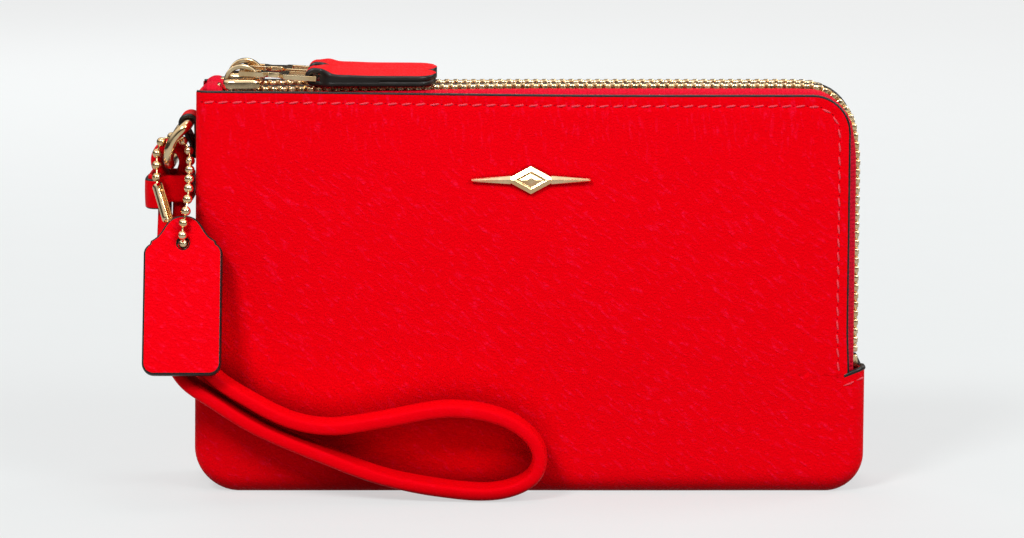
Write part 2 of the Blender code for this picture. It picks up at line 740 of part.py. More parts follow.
def add_strap():
    path = curve_through([p[:3] for p in STRAP_LINE], 2, closed=True)
    thicknesses = [p[3] for p in STRAP_LINE for _ in range(2)]
    rings = []
    for i, p in enumerate(path):
        along = (path[(i + 1) % len(path)] - path[i - 1]).normalized()
        across = Vector((0, 1, 0)).cross(along).normalized()
        wide = along.cross(across)
        half, edge = thicknesses[i] / 2, STRAP_WIDTH / 2
        corner = min(half, 1.2)
        section = (
            (half, edge - corner), (half - corner, edge), (corner - half, edge), (-half, edge - corner),
            (-half, corner - edge), (corner - half, -edge), (half - corner, -edge), (half, corner - edge),
        )
        rings.append([p + across * a + wide * b for a, b in section])
    add_object("wrist_strap", lofted(rings, closed=True), "red_leather", "strap", smooth=True)


KEEPER_LOW, KEEPER_HIGH = 70.9, 77.6
KEEPER_MIDDLE = (-88.4, 2.0)
KEEPER_INNER_HALF = (4.25, 5.4)


def add_keeper():
    """Leather band that holds the strap's two strands together under the ring."""
    thick, corner = 1.2, 1.0
    signs = ((1, 1, 0), (-1, 1, 90), (-1, -1, 180), (1, -1, 270))
    rings = []
    for sign_x, sign_y, start in signs:
        centre = (
            KEEPER_MIDDLE[0] + sign_x * (KEEPER_INNER_HALF[0] - corner),
            KEEPER_MIDDLE[1] + sign_y * (KEEPER_INNER_HALF[1] - corner),
        )
        for a in range(start, start + 91, 30):
            c, s = math.cos(math.radians(a)), math.sin(math.radians(a))
            section = [(corner, KEEPER_LOW), (corner + thick, KEEPER_LOW)]
            section += [(corner + thick, KEEPER_HIGH), (corner, KEEPER_HIGH)]
            rings.append([(centre[0] + r * c, centre[1] + r * s, z) for r, z in section])
    add_object("strap_keeper", lofted(rings, closed=True), "red_leather", "strap", smooth=True)


def tag_direction():
    """Down the tag's face, and out of it towards the front."""
    down = Vector((0, -math.sin(TAG_LEAN), -math.cos(TAG_LEAN)))
    out = Vector((0, -math.cos(TAG_LEAN), math.sin(TAG_LEAN)))
    return down, out


CONNECTOR_TOP = Vector((-91.0, -8.9, 75.9))
CONNECTOR_BOTTOM = Vector((-88.1, -13.4, 67.7))
CONNECTOR_RADIUS = 1.4
BALL_PITCH, BALL_RADIUS, CHAIN_WIRE = 2.9, 1.0, 0.4


def chain_points():
    """Points that the ball chain runs through, from the top of its connector to the bottom."""
    down, out = tag_direction()
    hole = TAG_HOLE
    along = (CONNECTOR_BOTTOM - CONNECTOR_TOP).normalized()
    return [
        CONNECTOR_TOP - along * 0.4,
        Vector((-91.3, -7.2, 79.8)),
        Vector((-91.2, -5.9, 83.6)),
        Vector((-89.9, -5.9, 86.4)),
        Vector((-87.8, -5.9, 87.3)),
        Vector((-85.6, -6.0, 86.6)),
        Vector((-84.0, -6.6, 84.0)),
        Vector((-83.5, -9.0, 79.4)),
        Vector((-83.3, -14.6, 74.2)),
        Vector((-83.4, -19.0, 70.0)),
        hole - down * 3.6 + out * 3.1,
        hole - down * 0.8 + out * 2.8,
        hole,
        hole - down * 0.9 - out * 2.7,
        hole - down * 3.0 - out * 3.4 + Vector((-1.4, 0, 0)),
        CONNECTOR_BOTTOM + along * 0.4,
    ]


def add_chain():
    """Ball chain as one solid: balls joined by the wire between them."""
    fine = curve_through(chain_points(), 24)
    lengths = [0.0]
    for a, b in zip(fine, fine[1:]):
        lengths.append(lengths[-1] + (b - a).length)
    balls = round(lengths[-1] / BALL_PITCH)
    pitch = lengths[-1] / balls
    profile = ((-0.92, CHAIN_WIRE), (-0.5, 0.87), (0.0, 1.0), (0.5, 0.87), (0.92, CHAIN_WIRE))
    marks = [(0.0, CHAIN_WIRE)]
    for k in range(balls):
        middle = (k + 0.5) * pitch
        marks += [(middle + step * BALL_RADIUS, radius) for step, radius in profile]
    marks.append((lengths[-1], CHAIN_WIRE))
    path = []
    index = 0
    for mark, _ in marks:
        while index < len(lengths) - 2 and lengths[index + 1] < mark:
            index += 1
        share = (mark - lengths[index]) / (lengths[index + 1] - lengths[index])
        path.append(fine[index].lerp(fine[index + 1], min(share, 1)))
    radii = [radius for _, radius in marks]
    add_object("ball_chain", tube(path, radii, 6), "pale_gold", "chain", smooth=True)
    connector = tube([CONNECTOR_TOP, CONNECTOR_BOTTOM], CONNECTOR_RADIUS, 10)
    add_object("chain_connector", connector, "pale_gold", "chain", smooth=True)


def tag_outline():
    """Outline (across, down from the hole): square foot with small corners, shoulders and a domed top."""
    half_width, foot, top = 9.5, 32.2, 6.9
    corner, dome, shoulder = 2.6, 4.6, 2.2
    right = arc((half_width - corner, foot - corner), corner, 90, 0, 4)
    right += arc((half_width - 2.2, shoulder + 2.2), 2.2, 0, -60, 3)
    dome_centre = (0.0, dome - top)
    right += [(dome + 0.6, -0.6)]
    right += arc(dome_centre, dome, -20, -90, 5)
    left = [(-a, d) for a, d in right[::-1]]
    return right[:-1] + left


def add_tag():
    down, out = tag_direction()
    thick = 3.0
    layers = []
    for level in (-thick / 2, thick / 2):
        layers.append(
            [TAG_HOLE + Vector((a, 0, 0)) + down * d + out * level for a, d in tag_outline()]
        )
    tag = add_object("hang_tag", lofted(layers), "red_leather", "tag")
    path = [TAG_HOLE - out * 4, TAG_HOLE + out * 4]
    combine(tag, add_helper("tag_hole", tube(path, 1.65, 12), "tag"), "DIFFERENCE")


# ---------------------------------------------------------------- badge


def add_badge(flap):
    """Plain metal ornament: a lozenge between two tapered bars, pronged through the leather."""
    centre_x, centre_z = BADGE_CENTRE
    quarter = [(14.5, 0.5), (6.4, 1.1), (4.4, 1.1)]
    right = [(0.0, 3.5)] + [(x, z) for x, z in quarter[::-1]]
    upper = [(-x, z) for x, z in right[:0:-1]] + right
    outline = upper + [(x, -z) for x, z in upper[::-1]]
    outline = [(centre_x + x, centre_z + z) for x, z in outline]
    back = -panel_depth(centre_x, centre_z - 3.5) - GAP
    front = back - 1.1
    badge = add_object("badge", prism(outline, front, back, 1), "pale_gold", "front_flap")
    prong_end = -(panel_depth(*BADGE_CENTRE) - LEATHER - 0.05)
    for side in (-1, 1):
        spot = (centre_x + side * BADGE_PRONG_SPACING, centre_z)
        prong = prism(arc(spot, 0.55, 0, 315, 7), back - 0.5, prong_end, 1)
        combine(badge, add_helper(f"badge_prong_{side + 1}", prong, "front_flap"), "UNION")
        hole = prism(arc(spot, 0.9, 0, 315, 7), -20, -10, 1)
        combine(flap, add_helper(f"badge_hole_{side + 1}", hole, "front_flap"), "DIFFERENCE")
    plate = box(
        (centre_x - 11.0, prong_end + GAP, centre_z - 1.5),
        (centre_x + 11.0, prong_end + GAP + 0.6, centre_z + 1.5),
    )
    add_object("badge_backing_plate", plate, "pale_gold", "front_flap")


def build():
    clear_scene()
    make_materials()
    make_bodies()
    flaps = {}
    for name, side in (("front", -1), ("back", 1)):
        flaps[name] = add_panel(name, side)
        add_lining(name, side)
        add_zip(name, side)
        add_slider(name, side)
        add_pull_link(name, side)
        add_pull_tab(name, side)
    add_divider()
    add_gusset()
    add_card_pockets()
    add_ring_tab()
    add_d_ring()
    add_strap()
    add_keeper()
    add_chain()
    add_tag()
    add_badge(flaps["front"])


build()
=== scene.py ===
"""Looks of the double-zip wristlet wallet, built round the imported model.

Lengths are in millimetres until a mesh is made. +X runs along the wallet, +Y to the back, +Z up.
"""

import json
import math

import bmesh
import bpy
import numpy as np
from mathutils import Matrix, Vector, noise


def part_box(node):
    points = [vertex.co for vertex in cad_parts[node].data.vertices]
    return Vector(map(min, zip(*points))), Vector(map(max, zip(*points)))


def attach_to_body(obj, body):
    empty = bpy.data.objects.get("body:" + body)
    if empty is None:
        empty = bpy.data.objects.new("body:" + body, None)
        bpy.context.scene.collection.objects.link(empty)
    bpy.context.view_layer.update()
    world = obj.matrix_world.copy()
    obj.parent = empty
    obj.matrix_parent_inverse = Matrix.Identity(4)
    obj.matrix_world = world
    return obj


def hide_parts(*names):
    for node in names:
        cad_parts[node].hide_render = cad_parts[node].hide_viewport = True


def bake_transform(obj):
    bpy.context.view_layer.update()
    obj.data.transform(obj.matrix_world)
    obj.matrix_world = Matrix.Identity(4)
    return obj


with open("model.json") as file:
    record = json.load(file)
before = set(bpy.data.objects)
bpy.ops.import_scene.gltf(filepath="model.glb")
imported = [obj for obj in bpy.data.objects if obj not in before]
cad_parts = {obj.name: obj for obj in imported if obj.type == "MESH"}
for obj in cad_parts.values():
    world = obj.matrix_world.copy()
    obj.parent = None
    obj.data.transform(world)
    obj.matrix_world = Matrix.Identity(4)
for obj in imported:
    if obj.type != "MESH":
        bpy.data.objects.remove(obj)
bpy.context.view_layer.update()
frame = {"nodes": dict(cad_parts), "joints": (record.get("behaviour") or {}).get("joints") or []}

MM = 0.001


def corners_mm(node):
    """Lowest and highest corner of a CAD node, in millimetres."""
    low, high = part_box(node)
    return Vector(low) / MM, Vector(high) / MM


JOINTS = {joint["name"]: joint for joint in frame["joints"]}


def pivot_mm(joint):
    return Vector(JOINTS[joint]["pos_m"]) / MM


# Sizes that come from the model
PANEL_LOW, PANEL_HIGH = corners_mm("front_panel")
TOP = PANEL_HIGH.z
LEFT, RIGHT = PANEL_LOW.x, PANEL_HIGH.x
WIDTH = RIGHT - LEFT
ZIP_EDGE = corners_mm("front_panel_flap")[1].x
TEETH_LOW_CORNER, TEETH_HIGH_CORNER = corners_mm("front_zip_outer_teeth")
TEETH_TOP = TEETH_HIGH_CORNER.z - TOP
TEETH_START, TEETH_END = TEETH_LOW_CORNER.x, TEETH_LOW_CORNER.z
TAPE_LOW = corners_mm("front_zip_outer_tape")[0]
SLIDER_LOW, SLIDER_HIGH = corners_mm("front_zip_slider")
ZIP_Y = -(SLIDER_LOW.y + SLIDER_HIGH.y) / 2
DIVIDER_HIGH = corners_mm("divider_panel")[1]
PULL_PIVOT = pivot_mm("front_pull_swing")
TAB_PIVOT = pivot_mm("front_tab_swing")
RING_BAR = pivot_mm("ring_swing")
RING_HANG = pivot_mm("strap_swing")
TAG_HOLE = pivot_mm("tag_swing")
FOLD_POINT = pivot_mm("front_mouth_open")
FOLD_ALONG = Vector(JOINTS["front_mouth_open"]["axis"])

# Shape of the shell
HALF_DEPTH = 14.0
BULGE = 1.6
LEATHER = 1.3
LEFT_LEAN = 1.5
BOTTOM_LEFT_RADIUS = 11.0
BOTTOM_RIGHT_RADIUS = 9.5
TOP_RIGHT_RADIUS = 9.0
ROLL_WIDTH = 3.8
ROLL_DEPTH = 2.2
COLLAR = 29.2
COLLAR_RISE_FRONT, COLLAR_RISE_BACK = 1.8, 0.2
STITCH_INSET = 2.3
STITCH_PITCH = 3.4
ZIP_RISE_START = -0.7
ZIP_RISE_END = {-1: 0.05, 1: -0.6}
ZIP_RISE_SIDE = 1.1
ZIP_CORNER_DIP = 0.85
EDGE_DROOP_START, EDGE_DROOP_END = -0.3, 0.7


# ---------------------------------------------------------------- mesh helpers

SHARP_DEG = 30


def add_object(name, data):
    made = bpy.data.objects.new(name, data)
    bpy.context.collection.objects.link(made)
    return made


class Shape:
    """Points in millimetres and faces, gathered from many small parts."""

    def __init__(self, rings=None, closed=False):
        self.verts = []
        self.faces = []
        self.slots = []
        if rings:
            self.add(*lofted(rings, closed))

    def add(self, verts, faces, slot=0):
        """Adds a part; slot is one number, or one per face."""
        base = len(self.verts)
        self.verts += [tuple(v) for v in verts]
        self.faces += [tuple(base + i for i in face) for face in faces]
        self.slots += [slot] * len(faces) if isinstance(slot, int) else slot

    def fit(self, name, body, materials, *nodes, smooth=True, sharp_deg=None):
        """Makes the piece, its faces turned outward, and attaches it."""
        mesh = bpy.data.meshes.new(name)
        mesh.from_pydata([tuple(c * MM for c in v) for v in self.verts], [], self.faces)
        for material in materials:
            mesh.materials.append(material)
        mesh.polygons.foreach_set("material_index", self.slots)
        work = bmesh.new()
        work.from_mesh(mesh)
        bmesh.ops.recalc_face_normals(work, faces=work.faces)
        work.to_mesh(mesh)
        work.free()
        if smooth:
            mesh.shade_smooth()
        if sharp_deg:
            mesh.set_sharp_from_angle(angle=math.radians(sharp_deg))
        piece = add_object(name, mesh)
        attach(piece, body, *nodes)
        return piece


def attach(piece, body, *nodes):
    """Rides a piece on a body; for the front and back its place is baked into the mesh. It stands for the
    nodes.
    """
    if nodes:
        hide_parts(*nodes)
    if body in ("front", "back"):
        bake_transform(piece)
    else:
        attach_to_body(piece, body)


def round_edges(piece, width, segments, harden):
    modifier = piece.modifiers.new("rounding", "BEVEL")
    modifier.width = width * MM
    modifier.segments = segments
    modifier.limit_method = "ANGLE"
    modifier.angle_limit = math.radians(SHARP_DEG)
    modifier.harden_normals = harden


def lofted(rings, closed=False):
    """(points, faces) of a skin over equal rings; open ends are capped."""
    count = len(rings[0])
    verts = [p for ring in rings for p in ring]
    faces = []
    for r in range(len(rings) if closed else len(rings) - 1):
        near, far = r * count, (r + 1) % len(rings) * count
        for i in range(count):
            j = (i + 1) % count
            faces.append((near + i, near + j, far + j, far + i))
    if not closed:
        faces.append(tuple(range(count)))
        faces.append(tuple(range(len(verts) - count, len(verts))))
    return verts, faces


def arc(centre, radius, start_deg, end_deg, steps):
    points = []
    for i in range(steps + 1):
        a = math.radians(start_deg + (end_deg - start_deg) * i / steps)
        points.append((centre[0] + radius * math.cos(a), centre[1] + radius * math.sin(a)))
    return points


def turns(count):
    return [math.tau * k / count for k in range(count)]


def squared(value, power):
    """A sine or cosine raised to a power below 1, which makes a round section squarer."""
    return math.copysign(abs(value) ** power, value)


def rounded_box(middle_x, middle_y, half_x, half_y, radius, steps):
    """Outline of a rectangle; the half sizes reach the middles of its round corners."""
    outline = []
    for sign_x, sign_y, start in ((1, 1, 0), (-1, 1, 90), (-1, -1, 180), (1, -1, 270)):
        centre = (middle_x + sign_x * half_x, middle_y + sign_y * half_y)
        outline += arc(centre, radius, start, start + 90, steps)
    return outline


def neighbours(line, i, closed=False):
    """The points before and after one; an open end is its own neighbour."""
    before = line[i - 1] if closed or i else line[i]
    after = line[(i + 1) % len(line)] if closed or i + 1 < len(line) else line[i]
    return before, after


def curve_through(points, steps, closed=False):
    """A smooth curve through points of any length (Catmull-Rom)."""
    points = [np.array(p, float) for p in points]
    count = len(points)
    result = []
    for i in range(count if closed else count - 1):
        if closed:
            p0, p1, p2, p3 = (points[(i + k) % count] for k in (-1, 0, 1, 2))
        else:
            p0, p1, p2, p3 = (points[min(max(i + k, 0), count - 1)] for k in (-1, 0, 1, 2))
        for s in range(steps):
            t = s / steps
            result.append(
                0.5 * (2 * p1 + (p2 - p0) * t + (2 * p0 - 5 * p1 + 4 * p2 - p3) * t ** 2
                       + (3 * p1 - p0 - 3 * p2 + p3) * t ** 3)
            )
    if not closed:
        result.append(points[-1])
    return result


def evenly(path, pitch):
    """Points at even distances along an open path."""
    path = [np.array(p, float) for p in path]
    lengths = [0.0]
    for a, b in zip(path, path[1:]):
        lengths.append(lengths[-1] + float(np.linalg.norm(b - a)))
    count = max(round(lengths[-1] / pitch), 1)
    marks = [lengths[-1] * k / count for k in range(count + 1)]
    columns = [np.interp(marks, lengths, [p[c] for p in path]) for c in range(len(path[0]))]
    return [np.array(p) for p in zip(*columns)]


def tube(path, radii, sides, closed=False):
    """A round tube along a path, with no twist."""
    path = [Vector(p) for p in path]
    if not isinstance(radii, (list, tuple)):
        radii = [radii] * len(path)
    rings = []
    normal = None
    for i, p in enumerate(path):
        before, after = neighbours(path, i, closed)
        along = (after - before).normalized()
        if normal is None:
            normal = along.orthogonal().normalized()
        normal = (normal - along * normal.dot(along)).normalized()
        other = along.cross(normal)
        rings.append([p + (normal * math.cos(a) + other * math.sin(a)) * radii[i] for a in turns(sides)])
    return lofted(rings, closed)


def ball(centre, radius, sides=16, levels=10):
    rings = []
    for k in range(1, levels):
        a = math.pi * k / levels
        r, z = radius * math.sin(a), radius * math.cos(a)
        rings.append([Vector(centre) + Vector((r * math.cos(t), r * math.sin(t), z)) for t in turns(sides)])
    return lofted(rings)


def leather_strip(stations, thickness, closed=False):
    """Strip with painted, rounded long edges; each station is (centre, away, across, half width, swell).

    Returns points, faces and slots: 0 for the leather, 1 for its painted edges and ends.
    """
    flat_count = 11
    edge = []
    for inset, drop in ((0.12, 0.14), (0.0, 0.30), (-0.04, 0.5), (0.0, 0.70), (0.12, 0.86)):
        edge.append((inset, 0.5 - drop))
    rings = []
    for centre, away, across, half, swell in stations:
        flat = [(-1 + 2 * k / (flat_count - 1)) * (half - 0.32) for k in range(flat_count)]
        section = [(a, thickness / 2 + swell * (1 - (a / half) ** 2)) for a in flat]
        section += [(half - inset, level * thickness) for inset, level in edge]
        section += [(a, -thickness / 2) for a in flat[::-1]]
        section += [(inset - half, level * thickness) for inset, level in edge[::-1]]
        rings.append([Vector(centre) + across * a + away * b for a, b in section])
    points, faces = lofted(rings, closed)
    count = len(rings[0])
    painted = set(range(flat_count - 1, flat_count + 5)) | set(range(2 * flat_count + 4, count))
    spans = len(rings) if closed else len(rings) - 1
    slots = [1 if i in painted else 0 for _ in range(spans) for i in range(count)]
    slots += [1] * (len(faces) - len(slots))
    return points, faces, slots


def rough(x, y, z, scale):
    """Smooth noise between -1 and 1; scale is the size of its features in millimetres."""
    return noise.noise(Vector((x, y, z)) / scale)


# ---------------------------------------------------------------- material helpers


class Nodes:
    """Short calls for building a node tree."""

    def __init__(self, name, base, roughness, metallic=0.0):
        self.material = bpy.data.materials.new(name)
        self.material.use_nodes = True
        self.tree = self.material.node_tree
        self.shader = self.tree.nodes["Principled BSDF"]
        self.place = self.add("ShaderNodeTexCoord").outputs["Object"]
        self.shader.inputs["Base Color"].default_value = (*base, 1.0)
        self.shader.inputs["Roughness"].default_value = roughness
        self.shader.inputs["Metallic"].default_value = metallic

    def add(self, kind, **values):
        node = self.tree.nodes.new(kind)
        for key, value in values.items():
            setattr(node, key, value)
        return node

    def link(self, source, target):
        self.tree.links.new(source, target)

    def stretched(self, x, y, z):
        """Object coordinates with each axis multiplied."""
        mapping = self.add("ShaderNodeMapping")
        mapping.inputs["Scale"].default_value = (x, y, z)
        self.link(self.place, mapping.inputs["Vector"])
        return mapping.outputs["Vector"]

    def slanted(self, angle_deg, along, across):
        """Object coordinates turned about Y, then divided by a length along and across the slope."""
        mapping = self.add("ShaderNodeMapping", vector_type="TEXTURE")
        mapping.inputs["Rotation"].default_value = (0, math.radians(angle_deg), 0)
        mapping.inputs["Scale"].default_value = (along * MM, across * MM, across * MM)
        self.link(self.place, mapping.inputs["Vector"])
        return mapping.outputs["Vector"]

    def height_above_floor(self):
        parts = self.add("ShaderNodeSeparateXYZ")
        self.link(self.place, parts.inputs[0])
        return parts.outputs["Z"]

    def noise(self, scale, detail=3.0, vector=None, roughness=0.5, distortion=0.0):
        node = self.add("ShaderNodeTexNoise")
        node.inputs["Scale"].default_value = scale
        node.inputs["Detail"].default_value = detail
        node.inputs["Roughness"].default_value = roughness
        node.inputs["Distortion"].default_value = distortion
        self.link(vector or self.place, node.inputs["Vector"])
        return node

    def voronoi(self, scale, vector, feature="DISTANCE_TO_EDGE", randomness=1.0):
        node = self.add("ShaderNodeTexVoronoi", feature=feature)
        node.inputs["Scale"].default_value = scale
        node.inputs["Randomness"].default_value = randomness
        self.link(vector, node.inputs["Vector"])
        return node.outputs["Distance"]

    def wave(self, scale, vector, direction="X", distortion=0.0):
        node = self.add("ShaderNodeTexWave", bands_direction=direction)
        node.inputs["Scale"].default_value = scale
        node.inputs["Distortion"].default_value = distortion
        self.link(vector, node.inputs["Vector"])
        return node.outputs["Fac"]

    def math(self, operation, a, b):
        node = self.add("ShaderNodeMath", operation=operation)
        for socket, value in zip(node.inputs, (a, b)):
            if isinstance(value, (int, float)):
                socket.default_value = value
            else:
                self.link(value, socket)
        return node.outputs[0]

    def remap(self, value, low, high, new_low, new_high, curve="SMOOTHSTEP"):
        node = self.add("ShaderNodeMapRange", interpolation_type=curve)
        self.link(value, node.inputs["Value"])
        for key, number in zip(("From Min", "From Max", "To Min", "To Max"), (low, high, new_low, new_high)):
            node.inputs[key].default_value = number
        return node.outputs["Result"]

    def mix(self, share, first, second):
        """Mixed colour; first and second are colours or sockets."""
        node = self.add("ShaderNodeMix", data_type="RGBA")
        self.link(share, node.inputs[0])
        for socket, value in ((node.inputs[6], first), (node.inputs[7], second)):
            if isinstance(value, tuple):
                socket.default_value = (*value, 1.0)
            else:
                self.link(value, socket)
        return node.outputs[2]

    def openness(self, reach):
        """1 in the open, less in creases and under things nearer than this reach: a mask for shade painted
        into a colour.
        """
        node = self.add("ShaderNodeAmbientOcclusion", samples=8)
        node.inputs["Distance"].default_value = reach * MM
        return self.remap(node.outputs["AO"], 0.3, 0.95, 0.25, 1.0)

    def colour(self, socket):
        self.link(socket, self.shader.inputs["Base Color"])

    def gloss(self, socket):
        self.link(socket, self.shader.inputs["Roughness"])

    def bump(self, height, distance, strength=1.0):
        node = self.add("ShaderNodeBump")
        node.inputs["Distance"].default_value = distance * MM
        node.inputs["Strength"].default_value = strength
        self.link(height, node.inputs["Height"])
        previous = self.shader.inputs["Normal"]
        if previous.is_linked:
            self.link(previous.links[0].from_socket, node.inputs["Normal"])
        self.link(node.outputs["Normal"], previous)


def leather_material(name="pebbled_leather", cell=0.95, depth=0.16, creases=1.0):
    """Bright red pebbled leather: rounded grain, slanting creases with a painted highlight along their
    crests, a change of shade, and painted shade where other parts come near.
    """
    light, deep = (0.93, 0.0, 0.0045), (0.80, 0.0, 0.002)
    # Painted light: the pale colour is a painted highlight on the crease crests; the dark one is painted
    # shade in creases and near other parts.
    pale, painted_shade = (0.99, 0.006, 0.036), (0.22, 0.0, 0.001)
    n = Nodes(name, light, 0.46)
    wander = n.noise(1 / (4.0 * MM), 2.0)
    shifted = n.add("ShaderNodeVectorMath", operation="MULTIPLY_ADD")
    n.link(wander.outputs["Color"], shifted.inputs[0])
    shifted.inputs[1].default_value = (1.6 * MM, 1.6 * MM, 1.6 * MM)
    n.link(n.stretched(0.82, 1.0, 1.0), shifted.inputs[2])
    cells = n.voronoi(1 / (cell * MM), shifted.outputs[0])
    small = n.voronoi(1 / (cell * 0.5 * MM), shifted.outputs[0])
    pebble = n.remap(cells, 0.0, 0.34, 0.0, 1.0)
    fine = n.remap(small, 0.0, 0.34, 0.0, 0.4)
    height = n.math("ADD", pebble, fine)
    slope = n.noise(1.0, 3.0, n.slanted(38, 3.0, 0.95), distortion=0.5).outputs["Fac"]
    upright = n.noise(1.0, 3.0, n.slanted(84, 3.6, 0.9), distortion=0.4).outputs["Fac"]
    near_top = n.remap(n.height_above_floor(), (TOP - 24.0) * MM, (TOP - 7.0) * MM, 0.0, 1.0)
    turned = n.math("MULTIPLY", n.math("SUBTRACT", upright, slope), near_top)
    crease = n.math("ADD", slope, turned)
    n.bump(height, depth * 0.34)
    n.bump(crease, 0.15 * creases)
    patch = n.noise(1 / (22 * MM), 2.0).outputs["Fac"]
    shade = n.math("MULTIPLY", n.remap(height, 0.0, 0.9, 0.76, 1.0), n.remap(patch, 0.3, 0.7, 0.88, 1.0))
    high_grain = n.remap(height, 0.5, 1.2, 0.35, 1.0)
    # Painted highlight: pale pink streaks along the crease crests on raised grain, standing for light caught
    # there.
    crest_highlight = n.math("MULTIPLY", n.remap(crease, 0.53, 0.70, 0.0, 0.9 * creases), high_grain)
    skin = n.mix(crest_highlight, n.mix(shade, deep, light), pale)
    # Painted shade: the base colour darkens to a deep red in creases and wherever other parts come near,
    # standing for occlusion shade.
    n.colour(n.mix(n.openness(9.0), painted_shade, skin))
    n.gloss(n.remap(height, 0.0, 1.2, 0.6, 0.44))
    n.shader.inputs["Specular IOR Level"].default_value = 0.2
    n.shader.inputs["Specular Tint"].default_value = (1.0, 0.03, 0.10, 1.0)
    return n.material


def smooth_leather_material():
    """The same hide where it is turned tight round an edge: a finer, flatter grain."""
    return leather_material("smooth_leather", cell=0.7, depth=0.07, creases=0.25)


def edge_paint_material():
    """Near-black paint, brown where it is rubbed."""
    paint, worn = (0.012, 0.009, 0.008), (0.045, 0.024, 0.02)
    n = Nodes("edge_paint", paint, 0.36)
    n.bump(n.noise(1 / (1.1 * MM), 3.0).outputs["Fac"], 0.06)
    wear = n.noise(1 / (3.5 * MM), 4.0).outputs["Fac"]
    n.colour(n.mix(n.remap(wear, 0.56, 0.78, 0.0, 1.0), paint, worn))
    n.gloss(n.remap(wear, 0.3, 0.7, 0.28, 0.46))
    n.shader.inputs["Specular IOR Level"].default_value = 0.3
    return n.material


def thread_material():
    n = Nodes("red_thread", (0.97, 0.026, 0.06), 0.5)
    n.bump(n.wave(1 / (0.9 * MM), n.stretched(1, 0.6, 1.4), "DIAGONAL"), 0.08)
    n.shader.inputs["Sheen Weight"].default_value = 0.3
    return n.material


def needle_hole_shade_material():
    # Painted shade: a dark red that stands for the shade inside a needle hole.
    n = Nodes("needle_hole_painted_shade", (0.30, 0.0, 0.003), 0.8)
    n.bump(n.noise(1 / (0.5 * MM)).outputs["Fac"], 0.03)
    n.shader.inputs["Specular IOR Level"].default_value = 0.05
    return n.material


def woven_material(name, light, deep, pitch):
    """Plain weave: two sets of ribs, and a slight fuzz."""
    n = Nodes(name, light, 0.78)
    across = n.wave(1 / (pitch * 6.2 * MM), n.stretched(6.2, 6.2, 6.2), "X", 0.4)
    up = n.wave(1 / (pitch * 6.2 * MM), n.stretched(6.2, 6.2, 6.2), "Z", 0.4)
    weave = n.math("MULTIPLY", across, up)
    n.bump(weave, 0.12)
    n.bump(n.noise(1 / (0.25 * MM), 3.0).outputs["Fac"], 0.03)
    n.colour(n.mix(n.remap(weave, 0.0, 0.8, 0.0, 1.0), deep, light))
    n.shader.inputs["Sheen Weight"].default_value = 0.25
    return n.material


def tape_material():
    """Zip tape: ribs across the tape with a woven fuzz."""
    n = Nodes("zip_tape", (0.74, 0.003, 0.02), 0.72)
    ribs = n.wave(1 / (3.4 * MM), n.place, "X")
    side_ribs = n.wave(1 / (3.4 * MM), n.place, "Z")
    n.bump(n.math("ADD", ribs, side_ribs), 0.10)
    fuzz = n.noise(1 / (0.3 * MM), 4.0).outputs["Fac"]
    n.bump(fuzz, 0.05)
    n.colour(n.mix(n.remap(fuzz, 0.3, 0.7, 0.0, 1.0), (0.64, 0.0, 0.012), (0.92, 0.002, 0.035)))
    n.shader.inputs["Specular IOR Level"].default_value = 0.15
    return n.material


def gold_material(name="pale_gold", roughness=0.17):
    """Polished pale gold with a faint haze and a slow change of tone."""
    warm, pale = (0.80, 0.54, 0.27), (0.92, 0.70, 0.42)
    n = Nodes(name, (0.90, 0.70, 0.42), roughness, 1.0)
    haze = n.noise(1 / (1.6 * MM), 4.0).outputs["Fac"]
    n.gloss(n.remap(haze, 0.3, 0.75, roughness * 0.7, roughness * 1.5))
    n.bump(haze, 0.006)
    tone = n.noise(1 / (6 * MM), 2.0).outputs["Fac"]
    n.colour(n.mix(n.remap(tone, 0.35, 0.65, 0.0, 1.0), warm, pale))
    return n.material


LEATHER_SKIN = leather_material()
SMOOTH_SKIN = smooth_leather_material()
EDGE_PAINT = edge_paint_material()
THREAD = thread_material()
NEEDLE_HOLE_SHADE = needle_hole_shade_material()
LINING = woven_material("lining_cloth", (0.50, 0.008, 0.02), (0.22, 0.0, 0.006), 0.42)
TAPE = tape_material()
GOLD = gold_material()
TEETH_GOLD = gold_material("tooth_gold", 0.24)


# ---------------------------------------------------------------- panels


def left_edge(z, inset=0.0):
    if z >= BOTTOM_LEFT_RADIUS:
        return LEFT + LEFT_LEAN * (z - BOTTOM_LEFT_RADIUS) / (TOP - BOTTOM_LEFT_RADIUS) + inset
    radius = BOTTOM_LEFT_RADIUS - inset
    return LEFT + BOTTOM_LEFT_RADIUS - math.sqrt(max(radius ** 2 - (BOTTOM_LEFT_RADIUS - z) ** 2, 0))


def right_edge(z, inset=0.0, cut_inset=0.0):
    if z > TOP - TOP_RIGHT_RADIUS:
        radius = TOP_RIGHT_RADIUS - cut_inset
        rise = z - (TOP - TOP_RIGHT_RADIUS)
        return ZIP_EDGE - TOP_RIGHT_RADIUS + math.sqrt(max(radius ** 2 - rise ** 2, 0))
    if z > COLLAR:
        return ZIP_EDGE - cut_inset
    if z > BOTTOM_RIGHT_RADIUS:
        return RIGHT - inset
    radius = BOTTOM_RIGHT_RADIUS - inset
    return RIGHT - BOTTOM_RIGHT_RADIUS + math.sqrt(max(radius ** 2 - (BOTTOM_RIGHT_RADIUS - z) ** 2, 0))


